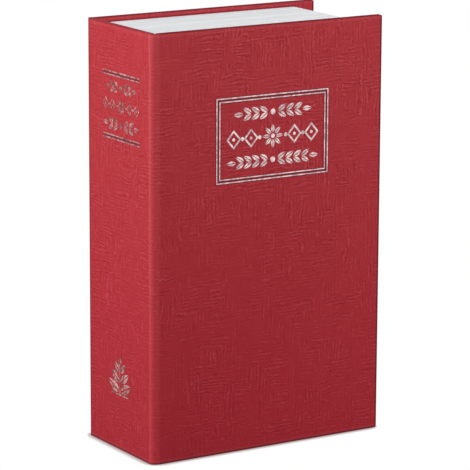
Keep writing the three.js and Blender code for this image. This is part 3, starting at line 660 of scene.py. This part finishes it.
def laurel_row(motifs, middle, up, reach, size):
    """A garland: a bead, pairs of leaves that point outwards on both sides of it, and a leaf at each tip."""
    stamp(motifs, bead, middle, up, size=1.5 * size)
    pitch = LAUREL_PITCH * size
    pairs = int((reach - LAUREL_TIP * size) / pitch)
    for way in (-1, 1):
        facing = 0.0 if way > 0 else math.pi
        for i in range(pairs):
            start = middle + way * (LAUREL_START * size + i * pitch)
            for side in (1, -1):
                turn = facing + side * way * LAUREL_SPREAD
                leaf_at(motifs, start, up + side * LAUREL_LIFT * size, turn, 0.95 * size)
        leaf_at(motifs, middle + way * (LAUREL_START * size + pairs * pitch), up, facing, 0.95 * size)


def rosette_row(motifs, middle, up, reach, size):
    """A rosette of eight leaves, with lozenges and beads out to both ends."""
    eye = ROSETTE_EYE * size
    for i in range(ROSETTE_LEAVES):
        turn = i * 2 * math.pi / ROSETTE_LEAVES
        leaf_at(motifs, middle + eye * math.cos(turn), up + eye * math.sin(turn), turn, 0.66 * size)
    stamp(motifs, bead, middle, up, size=size)
    pitch = LOZENGE_PITCH * size
    for way in (-1, 1):
        for i in range(int((reach - LOZENGE_TIP * size) / pitch)):
            across = middle + way * (LOZENGE_START * size + i * pitch)
            stamp(motifs, lozenge, across, up, size=size)
            stamp(motifs, bead, across, up, size=0.75 * size)
            stamp(motifs, bead, across - way * pitch / 2, up, size=0.9 * size)


def stamped_rows(middle, rows):
    """A row with a rosette between two garlands."""
    motifs = []
    for draw_row, (up, reach, size) in zip((laurel_row, rosette_row, laurel_row), rows):
        draw_row(motifs, middle, up, reach, size)
    return motifs


def sprig(motifs, across, foot):
    """A stem with three pairs of leaves and a bud, standing on a bar."""
    bar_top = foot + RULE
    motifs.append(rule_between("sprig_bar", (across - SPRIG_BAR_HALF, foot),
                               (across + SPRIG_BAR_HALF, bar_top)))
    motifs.append(rule_between("sprig_stem", (across - RULE / 2, bar_top),
                               (across + RULE / 2, foot + SPRIG_HEIGHT)))
    for i, (spread, size) in enumerate(SPRIG_PAIRS):
        up = foot + SPRIG_START + i * SPRIG_PITCH
        leaf_at(motifs, across + RULE, up, spread, size)
        leaf_at(motifs, across - RULE, up, math.pi - spread, size)
    leaf_at(motifs, across, foot + SPRIG_BUD, math.pi / 2, 1.2)


def rule_between(name, low, high):
    """A plain rule in the plane of the panel: a ring of four corners, each moved to the rule's own."""
    figure = flat_shape(name, 4, lambda x, z: (x, z))
    begin(figure)
    bpy.ops.mesh.select_all(action="SELECT")
    bpy.ops.mesh.normals_make_consistent(inside=False)
    done()
    centre = ((low[0] + high[0]) / 2, (low[1] + high[1]) / 2)
    for vert in figure.data.vertices:
        corner = round(math.degrees(math.atan2(vert.co.z, vert.co.x)) / 90) % 4
        right, top = ((1, 1), (-1, 1), (-1, -1), (1, -1))[corner]
        vert.co = (centre[0] + right * (high[0] - low[0]) / 2, 0, centre[1] + top * (high[1] - low[1]) / 2)
    return figure


def panel_frame():
    """The two rules of the front panel, and the browned bands beside them, inset from one sheet."""
    (left, foot), (right, head) = FRONT_PANEL
    halo = PANEL_STEPS[0]
    left, foot, right, head = left - halo, foot - halo, right + halo, head + halo
    figure = rule_between("panel_frame", (left, foot), (right, head))
    begin(figure)
    bpy.ops.mesh.select_all(action="SELECT")
    bpy.ops.mesh.select_mode(type="FACE")
    for step in PANEL_STEPS:
        bpy.ops.mesh.inset(thickness=step)

    def from_edge(face):
        return min(min(v.co.x - left, right - v.co.x, v.co.z - foot, head - v.co.z) for v in face.verts)

    def browned(face):
        return any(abs(from_edge(face) - sum(PANEL_STEPS[:i])) < SAME_PLACE for i in (0, 2, 4))

    pick_faces(lambda f: from_edge(f) > sum(PANEL_STEPS) - SAME_PLACE)
    bpy.ops.mesh.delete(type="FACE")
    done()
    return figure, part_off(figure, "front_burnt_band", browned)


def press_foil(name, motifs, material, slot, turn, place, body):
    """Joins the motifs, gives them their thickness, and lays them on a face of the book."""
    bpy.ops.object.select_all(action="DESELECT")
    for motif in motifs:
        motif.select_set(True)
    bpy.context.view_layer.objects.active = motifs[0]
    bpy.ops.object.transform_apply(location=True, rotation=True, scale=True)
    if len(motifs) > 1:
        bpy.ops.object.join()
    foil = bpy.context.object
    foil.name = name
    begin(foil)
    bpy.ops.mesh.select_all(action="SELECT")
    bpy.ops.mesh.normals_make_consistent(inside=False)
    done()
    mesh = foil.data
    for face in mesh.polygons:
        if face.normal.y > 0:
            face.flip()
    foil.rotation_euler = (0, 0, turn)
    foil.location = place
    bpy.ops.object.transform_apply(location=True, rotation=True, scale=True)
    skin = foil.modifiers.new("skin", "SOLIDIFY")
    skin.thickness = FOIL_THICK
    skin.offset = 1
    bpy.ops.object.modifier_apply(modifier=skin.name)
    mesh.materials.clear()
    mesh.materials.append(material)
    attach(foil, body)


leaf_half = flat_shape("leaf_half", ROUND_CORNERS, half_leaf)
bead = flat_shape("bead", ROUND_CORNERS, lambda x, z: (BEAD_RADIUS * x, BEAD_RADIUS * z))
lozenge = hollow_shape("lozenge", 4, lambda x, z: (LOZENGE_HALF[0] * x, LOZENGE_HALF[1] * z), RULE)
browned_red = burnt_paper()

on_front = dict(turn=0.0, place=(0, cad_low.y - FOIL_CLEAR, 0), body="front_cover")
panel_rules, panel_bands = panel_frame()
panel_middle = (FRONT_PANEL[0][0] + FRONT_PANEL[1][0]) / 2
front_motifs = [panel_rules] + stamped_rows(panel_middle, PANEL_ROWS)
front_silver = stamped_foil("front_foil_silver", FOIL_BRIGHT, FOIL_GREY, 0.36)
press_foil("front_foil", front_motifs, front_silver, "silver_foil", **on_front)
press_foil("front_burnt_band", [panel_bands], browned_red, "red_paper", **on_front)

on_spine = dict(turn=-math.pi / 2, place=(cad_low.x - FOIL_CLEAR, 0, 0), body="spine")
spine_motifs = [rule_between("spine_rule", (SPINE_LEFT, up - RULE / 2), (SPINE_RIGHT, up + RULE / 2))
                for up in SPINE_RULES]
spine_motifs += stamped_rows((SPINE_LEFT + SPINE_RIGHT) / 2, SPINE_ROWS)
sprig(spine_motifs, *SPRIG_FOOT)
spine_bands = [rule_between("spine_band", (SPINE_LEFT, low + RULE / 2), (SPINE_RIGHT, high - RULE / 2))
               for high, low in (SPINE_RULES[:2], SPINE_RULES[2:])]
# The same silver as the front's, darkened as painted shade
spine_shaded_silver = stamped_foil("spine_foil_painted_shade", SPINE_FOIL_SHADED_BRIGHT, SPINE_FOIL_SHADED_GREY, 0.45)
press_foil("spine_foil", spine_motifs, spine_shaded_silver, "silver_foil", **on_spine)
press_foil("spine_burnt_bands", spine_bands, browned_red, "red_paper", **on_spine)
for motif in (leaf_half, bead, lozenge):
    bpy.data.objects.remove(motif)

# Page block. One hollow white moulding whose head, fore-edge and tail are ribbed like leaves. The
# mould leaves every edge slightly round, and the leaves between the ribs are a fine texture.
PAGE_EDGE = 0.00012
SINGLE_FACE = math.radians(1)
SHARP_FROM = math.radians(40)
LEAVES_SIZE = 0.0040
LEAVES_STRETCH = 0.02
PAGE_WHITE = (0.677, 0.688, 0.700)
LEAF_SHADE = (0.557, 0.571, 0.585)


def moulded_pages():
    """White plastic with fine grey lines where the leaves part."""
    material, tree, shader = new_finish("moulded_pages")
    place = add_node(tree, "ShaderNodeTexCoord").outputs["Object"]
    drawn = add_node(tree, "ShaderNodeMapping", {
        "Vector": place, "Scale": (LEAVES_STRETCH, 1.0, LEAVES_STRETCH)}).outputs[0]
    leaves = ramp(tree, speckle(tree, drawn, LEAVES_SIZE, 6.0, 0.80), 0.34, 0.66)
    white = blend_of(tree, leaves, (*LEAF_SHADE, 1), (*PAGE_WHITE, 1))
    tree.links.new(white, shader.inputs["Base Color"])
    shader.inputs["Roughness"].default_value = 0.55
    shader.inputs["Specular IOR Level"].default_value = 0.35
    relief_on(tree, shader, leaves, 0.3, 0.0001)
    return material


def soften(node, name, width, material, body):
    """A copy of a CAD node with its sharp edges rounded, which stands for the node."""
    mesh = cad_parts[node].data.copy()
    piece = bpy.data.objects.new(name, mesh)
    bpy.context.scene.collection.objects.link(piece)
    begin(piece)
    bpy.ops.mesh.select_all(action="SELECT")
    bpy.ops.mesh.remove_doubles(threshold=SAME_PLACE)
    bpy.ops.mesh.dissolve_limited(angle_limit=SINGLE_FACE)
    done()
    bpy.ops.object.shade_smooth()
    edge = piece.modifiers.new("edge", "BEVEL")
    edge.width = width
    edge.segments = 2
    edge.limit_method = "ANGLE"
    edge.angle_limit = SHARP_FROM
    bpy.ops.object.modifier_apply(modifier=edge.name)
    flats = piece.modifiers.new("flats", "WEIGHTED_NORMAL")
    flats.mode = "FACE_AREA"
    flats.weight = 100
    bpy.ops.object.modifier_apply(modifier=flats.name)
    mesh.materials.clear()
    mesh.materials.append(material)
    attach(piece, body)
    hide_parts(node)


soften("page_frame", "page_block", PAGE_EDGE, moulded_pages(), "back_cover")

# Boards and linings. The covers and the spine are stiff greyboard. Each is lined on the inside with
# a sheet of dark laid paper, cut smaller than the board and pasted down over the turn-ins.
FLECK_SIZE = 0.0007
LINING_FIBRE = 0.0006
# The laid lines lie 0.9 mm apart
LAID_LINES = 7000.0
LINING_INSET = 0.002
LINING_CORNER = 0.0012
LINING_EDGE = 0.00006
BOARD_GREY = (0.250, 0.222, 0.188)
BOARD_FLECK = (0.140, 0.122, 0.100)
LINING = (0.0220, 0.0220, 0.0250)
LINING_LINE = (0.0300, 0.0300, 0.0340)


def dress(material, *nodes):
    """Gives CAD nodes a material."""
    for node in nodes:
        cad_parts[node].data.materials.clear()
        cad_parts[node].data.materials.append(material)


def greyboard():
    """Pressed grey board with darker flecks."""
    material, tree, shader = new_finish("greyboard")
    place = add_node(tree, "ShaderNodeTexCoord").outputs["Object"]
    flecks = ramp(tree, speckle(tree, place, FLECK_SIZE, 4.0, 0.7), 0.35, 0.60)
    tree.links.new(blend_of(tree, flecks, (*BOARD_FLECK, 1), (*BOARD_GREY, 1)), shader.inputs["Base Color"])
    shader.inputs["Roughness"].default_value = 0.9
    shader.inputs["Specular IOR Level"].default_value = 0.2
    relief_on(tree, shader, flecks, 0.5, 0.0002)
    return material


def laid_paper():
    """Nearly black paper with fine level lines and fibres."""
    material, tree, shader = new_finish("lining_paper")
    place = add_node(tree, "ShaderNodeTexCoord").outputs["Object"]
    up = add_node(tree, "ShaderNodeSeparateXYZ", {0: place}).outputs["Z"]
    wave = reckon(tree, "SINE", product(tree, up, LAID_LINES))
    lines = reckon(tree, "MULTIPLY_ADD", wave, 0.5, 0.5)
    fibres = speckle(tree, place, LINING_FIBRE, 4.0, 0.7)
    height = reckon(tree, "MULTIPLY_ADD", lines, 0.35, fibres)
    tree.links.new(blend_of(tree, height, (*LINING, 1), (*LINING_LINE, 1)), shader.inputs["Base Color"])
    shader.inputs["Roughness"].default_value = 0.85
    shader.inputs["Specular IOR Level"].default_value = 0.25
    relief_on(tree, shader, height, 0.5, 0.00012)
    return material


def lining_sheet(node, name, fore_inset, body):
    """A sheet that is cut a little smaller than its CAD node, with rounded corners."""
    low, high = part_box(node)
    low, high = low + Vector((0, 0, LINING_INSET)), high - Vector((fore_inset, 0, LINING_INSET))
    thin = min(range(3), key=lambda i: high[i] - low[i])
    sheet = block_between(name, low, high)
    begin(sheet)
    pick_edges(lambda e: abs(e.verts[0].co[thin] - e.verts[1].co[thin]) > (high[thin] - low[thin]) / 2)
    bpy.ops.mesh.bevel(offset=LINING_CORNER, segments=CORNER_STEPS, affect="EDGES")
    pick_edges(lambda e: e.calc_face_angle() > FOLD_ANGLE)
    bpy.ops.mesh.bevel(offset=LINING_EDGE, segments=2, affect="EDGES")
    done()
    bpy.ops.object.shade_smooth_by_angle(angle=SMOOTH_UNDER)
    sheet.data.materials.clear()
    sheet.data.materials.append(lining_paper)
    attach(sheet, body)
    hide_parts(node)


dress(greyboard(), "back_board", "spine_board", "front_board")
lining_paper = laid_paper()
lining_sheet("back_endpaper", "back_lining_sheet", LINING_INSET, "back_cover")
lining_sheet("front_endpaper", "front_lining_sheet", LINING_INSET, "front_cover")
lining_sheet("spine_lining", "spine_lining_sheet", 0, "spine")

# Edge bindings. A narrow strip of the same dark paper is pasted over the end of each board in the
# two joints, so that the opened case doesn't show the greyboard's raw edges.
BINDING = 0.00012
BINDING_LAP = 0.0016
BINDING_CORNER = 0.0001
SPINE_LAP = 0.0003
LAP_CLEAR = 0.00003
END_CLEAR = 0.00005
TOE_CLEAR = 0.00042
JOINT_CLEAR = 0.0001


def edge_binding(name, corner, toe, lap):
    """A strip that goes from its lap on the lining, over a rounded corner, down the board's end."""
    lining_low, lining_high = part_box("front_endpaper")
    foot, head = lining_low.z + LINING_INSET, lining_high.z - LINING_INSET
    corner, toe, lap = Vector((*corner, 0)), Vector((*toe, 0)), Vector((*lap, 0))
    bpy.ops.object.select_all(action="DESELECT")
    bpy.ops.mesh.primitive_plane_add(size=1)
    strip = bpy.context.object
    strip.name = name
    for vert, place, up in zip(strip.data.vertices, (corner, toe, corner, toe), (foot, foot, head, head)):
        vert.co = place + Vector((0, 0, up))

    def at_corner(edge):
        return all((v.co.xy - corner.xy).length < SAME_PLACE for v in edge.verts)

    begin(strip)
    pick_edges(at_corner)
    bpy.ops.mesh.extrude_region_move(TRANSFORM_OT_translate={"value": lap - corner})
    pick_edges(at_corner)
    bpy.ops.mesh.bevel(offset=BINDING_CORNER, segments=3, affect="EDGES")
    bpy.ops.mesh.select_all(action="SELECT")
    bpy.ops.mesh.normals_make_consistent(inside=False)
    face = bmesh.from_edit_mesh(strip.data).faces[0]
    if face.normal.dot(toe - corner) + face.normal.dot(lap - corner) > 0:
        bpy.ops.mesh.flip_normals()
    done()
    give_thickness(strip, BINDING, 1)
    strip.data.materials.clear()
    strip.data.materials.append(lining_paper)
    return strip


cover_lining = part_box("front_endpaper")[1].y + LAP_CLEAR
cover_end = edge_binding("front_board_binding",
                         corner=(cover_low.x - END_CLEAR, cover_lining),
                         toe=(cover_low.x - TOE_CLEAR, cad_low.y + JOINT_THICK + JOINT_CLEAR),
                         lap=(cover_low.x + BINDING_LAP, cover_lining))
spine_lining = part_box("spine_lining")[1].x
spine_end = edge_binding("spine_board_binding",
                         corner=(spine_lining - BINDING_CORNER, spine_low.y - END_CLEAR),
                         toe=(cad_low.x + JOINT_THICK + JOINT_CLEAR, spine_low.y - TOE_CLEAR),
                         lap=(spine_lining + LAP_CLEAR, spine_low.y + SPINE_LAP))
back_cover_end = mirrored_copy(cover_end, "back_board_binding")
back_spine_end = mirrored_copy(spine_end, "spine_board_binding_back")
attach(cover_end, "front_cover")
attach(spine_end, "spine")
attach(back_cover_end, "back_cover")
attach(back_spine_end, "spine")

# Steel tray and lid. Both are folded from 0.8 mm sheet steel and powder-coated black. The lid
# swings on a barrel hinge whose two leaves are spot-welded on before coating.
STEEL_EDGE = 0.00022
LEAF_EDGE = 0.00012
COAT_GRAIN = 0.00055
COAT_CLOUD = 0.02
POWDER_BLACK = (0.0125, 0.0125, 0.0140)
POWDER_GREY = (0.0220, 0.0220, 0.0240)


def powder_coat():
    """Black paint with a fine pebbled grain."""
    material, tree, shader = new_finish("black_powder_coat")
    place = add_node(tree, "ShaderNodeTexCoord").outputs["Object"]
    grain = speckle(tree, place, COAT_GRAIN)
    tone = reckon(tree, "MULTIPLY_ADD", speckle(tree, place, COAT_CLOUD), 0.3, product(tree, grain, 0.7))
    tree.links.new(blend_of(tree, tone, (*POWDER_BLACK, 1), (*POWDER_GREY, 1)), shader.inputs["Base Color"])
    tree.links.new(ramp(tree, grain, 0.3, 0.7, 0.42, 0.58), shader.inputs["Roughness"])
    relief_on(tree, shader, grain, 0.5, 0.00008)
    return material


black_coat = powder_coat()
soften("tray", "steel_tray", STEEL_EDGE, black_coat, "back_cover")
soften("lid", "steel_lid", STEEL_EDGE, black_coat, "lid")
soften("tray_hinge_leaf", "hinge_leaf_on_tray", LEAF_EDGE, black_coat, "back_cover")
soften("lid_hinge_leaf", "hinge_leaf_on_lid", LEAF_EDGE, black_coat, "lid")

# Plated fittings. The hinge pin, strike, washers, cam and screw are bright zinc-plated steel.
# The lock's housing, plug and ring nut are polished chrome, and its wafers stamped brass.
FITTING_EDGE = 0.00009
ZINC = (0.58, 0.60, 0.63)
ZINC_SHADE = (0.42, 0.43, 0.46)
CHROME = (0.72, 0.73, 0.75)
CHROME_SHADE = (0.66, 0.67, 0.69)
BRASS = (0.62, 0.42, 0.16)
BRASS_SHADE = (0.46, 0.30, 0.11)
ZINC_PIECES = (("hinge_pin", "peened_hinge_pin", "back_cover"),
               ("catch_plate", "bent_strike", "back_cover"),
               ("lock_washer", "toothed_washer", "lid"),
               ("lock_cam", "flat_cam", "lock_plug"),
               ("cam_washer", "plain_washer", "lock_plug"),
               ("cam_screw", "slotted_screw", "lock_plug"))
CHROME_PIECES = (("lock_housing", "turned_housing", "lid"),
                 ("lock_nut", "ring_nut", "lid"),
                 ("lock_plug", "turned_plug", "lock_plug"))


def plated(name, bright, shade, rough, grain_size, stretch):
    """Bare metal whose grain, drawn out by the tool that made it, changes its tone and its gloss."""
    material, tree, shader = new_finish(name)
    place = add_node(tree, "ShaderNodeTexCoord").outputs["Object"]
    drawn = add_node(tree, "ShaderNodeMapping", {"Vector": place, "Scale": stretch}).outputs[0]
    grain = speckle(tree, drawn, grain_size, 3.0, 0.6)
    tree.links.new(blend_of(tree, grain, (*shade, 1), (*bright, 1)), shader.inputs["Base Color"])
    shader.inputs["Metallic"].default_value = 1.0
    tree.links.new(ramp(tree, grain, 0.3, 0.7, rough * 1.25, rough * 0.8), shader.inputs["Roughness"])
    relief_on(tree, shader, grain, 0.15, 0.00004)
    return material


zinc_plate = plated("zinc_plate", ZINC, ZINC_SHADE, 0.32, 0.0009, (1.0, 1.0, 0.15))
chrome_plate = plated("chrome_plate", CHROME, CHROME_SHADE, 0.14, 0.0015, (1.0, 1.0, 1.0))
brass_plate = plated("stamped_brass", BRASS, BRASS_SHADE, 0.30, 0.0006, (1.0, 0.2, 1.0))
for node, name, body in ZINC_PIECES:
    soften(node, name, FITTING_EDGE, zinc_plate, body)
for node, name, body in CHROME_PIECES:
    soften(node, name, FITTING_EDGE, chrome_plate, body)
dress(brass_plate, "lock_wafer_1", "lock_wafer_2", "lock_wafer_3", "lock_wafer_4")

# Studio. A white floor that keeps a narrow contact shadow, a large soft light to the left that
# makes the spine the brighter side, a weaker one in front, and a lens a long way off.
CAMERA_AZIMUTH = math.radians(-31.885)
CAMERA_ELEVATION = math.radians(12.461)
CAMERA_ROLL = math.radians(0.26)
CAMERA_DISTANCE = 1.2506
CAMERA_TARGET = (0.00062, 0.0, 0.08617)
CAMERA_RANGE = 50
FOCAL_LENGTH = 225.33
FLOOR_SIDE = 6.0
FLOOR_GREY = (0.35, 0.35, 0.35)
# The contact shadow ends just outside the closed book, where it takes the paper's red
SHADOW_REACH = 0.0034
SHADOW_SAMPLES = 32
SHADOW_DEPTH = 1.4
SHADOW_TAPER = 0.45
SHADOW_CORNER = (-0.0010, 0.0008)
SHADOW_OUTSIDE = (-0.0010, 0.0)
SHADOW_RED = (1.0, 0.50, 0.52)
SHADOW_GREY = (0.64, 0.65, 0.66)
ROOM_LIGHT = 0.5
LIGHT_AIM = (0, 0, 0.1)


def place_camera():
    """A long lens that looks at the book from above its near corner, a little rolled."""
    camera = bpy.data.objects.new("camera", bpy.data.cameras.new("camera"))
    bpy.context.scene.collection.objects.link(camera)
    azimuth, elevation = CAMERA_AZIMUTH, CAMERA_ELEVATION
    back = Vector((math.sin(azimuth) * math.cos(elevation),
                   -math.cos(azimuth) * math.cos(elevation), math.sin(elevation)))
    right = Vector((math.cos(azimuth), math.sin(azimuth), 0))
    up = back.cross(right)
    tilt_right = right * math.cos(CAMERA_ROLL) + up * math.sin(CAMERA_ROLL)
    tilt_up = up * math.cos(CAMERA_ROLL) - right * math.sin(CAMERA_ROLL)
    camera.matrix_world = Matrix((tilt_right, tilt_up, back)).transposed().to_4x4()
    camera.location = Vector(CAMERA_TARGET) + back * CAMERA_DISTANCE
    camera.data.lens = FOCAL_LENGTH
    camera.data.clip_end = CAMERA_RANGE
    bpy.context.scene.camera = camera


def seen_directly(tree):
    """1 for rays that reach the background from the camera, a reflection or through glass."""
    path = add_node(tree, "ShaderNodeLightPath").outputs
    return largest(tree, path["Is Camera Ray"], path["Is Glossy Ray"], path["Is Transmission Ray"])


def contact_shadow(tree):
    """The floor's colour and strength: white in the open, shaded under the book and close beside it."""
    shade = add_node(tree, "ShaderNodeAmbientOcclusion", {"Distance": SHADOW_REACH}, samples=SHADOW_SAMPLES)
    place = add_node(tree, "ShaderNodeTexCoord").outputs["Object"]
    x, y = add_node(tree, "ShaderNodeSeparateXYZ", {0: place}).outputs[:2]
    beside = reckon(tree, "SUBTRACT", reckon(tree, "ABSOLUTE", x), cad_high.x)
    before = reckon(tree, "SUBTRACT", reckon(tree, "ABSOLUTE", y), cad_high.y)
    corner = largest(tree, reckon(tree, "MULTIPLY_ADD", before, SHADOW_TAPER, beside),
                     reckon(tree, "MULTIPLY_ADD", beside, SHADOW_TAPER, before))
    open_floor = largest(tree, shade.outputs["AO"], ramp(tree, corner, *SHADOW_CORNER))
    outside = ramp(tree, largest(tree, beside, before), *SHADOW_OUTSIDE)
    tint = blend_of(tree, outside, (*SHADOW_GREY, 1), (*SHADOW_RED, 1))
    tone = blend_of(tree, open_floor, tint, (1, 1, 1, 1))
    return tone, reckon(tree, "POWER", open_floor, SHADOW_DEPTH)


def lay_floor():
    """White where it is seen, and a dull grey for the light that it throws back on the book."""
    bpy.ops.object.select_all(action="DESELECT")
    bpy.ops.mesh.primitive_plane_add(size=FLOOR_SIDE)
    floor = bpy.context.object
    floor.name = "floor"
    material = bpy.data.materials.new("white_floor")
    material.use_nodes = True
    tree = material.node_tree
    tree.nodes.clear()
    tone, strength = contact_shadow(tree)
    white = add_node(tree, "ShaderNodeEmission", {"Color": tone, "Strength": strength})
    dull = add_node(tree, "ShaderNodeBsdfDiffuse", {"Color": (*FLOOR_GREY, 1)})
    both = add_node(tree, "ShaderNodeMixShader", {
        0: seen_directly(tree), 1: dull.outputs[0], 2: white.outputs[0]})
    add_node(tree, "ShaderNodeOutputMaterial", {"Surface": both.outputs[0]})
    floor.data.materials.append(material)


def soft_light(name, place, side, power):
    """A square window of light that faces the book."""
    data = bpy.data.lights.new(name, "AREA")
    data.shape = "SQUARE"
    data.size = side
    data.energy = power
    lamp = bpy.data.objects.new(name, data)
    bpy.context.scene.collection.objects.link(lamp)
    lamp.location = place
    lamp.rotation_euler = (Vector(place) - Vector(LIGHT_AIM)).to_track_quat("Z", "Y").to_euler()
    lamp.visible_camera = False


def fill_world():
    """A room that is white where it is seen and gives a weak even light."""
    world = bpy.data.worlds.new("white_room")
    bpy.context.scene.world = world
    world.use_nodes = True
    tree = world.node_tree
    tree.nodes.clear()
    strength = add_node(tree, "ShaderNodeMapRange", {
        "Value": seen_directly(tree), "To Min": ROOM_LIGHT, "To Max": 1.0}).outputs[0]
    sky = add_node(tree, "ShaderNodeBackground", {"Color": (1, 1, 1, 1), "Strength": strength})
    add_node(tree, "ShaderNodeOutputWorld", {"Surface": sky.outputs[0]})


bpy.context.scene.view_settings.view_transform = "Standard"
place_camera()
lay_floor()
fill_world()
soft_light("left_window", (-0.82, -0.10, 0.56), side=0.5, power=8.3)
soft_light("front_window", (0.62, -0.40, 0.44), side=0.4, power=4.4)
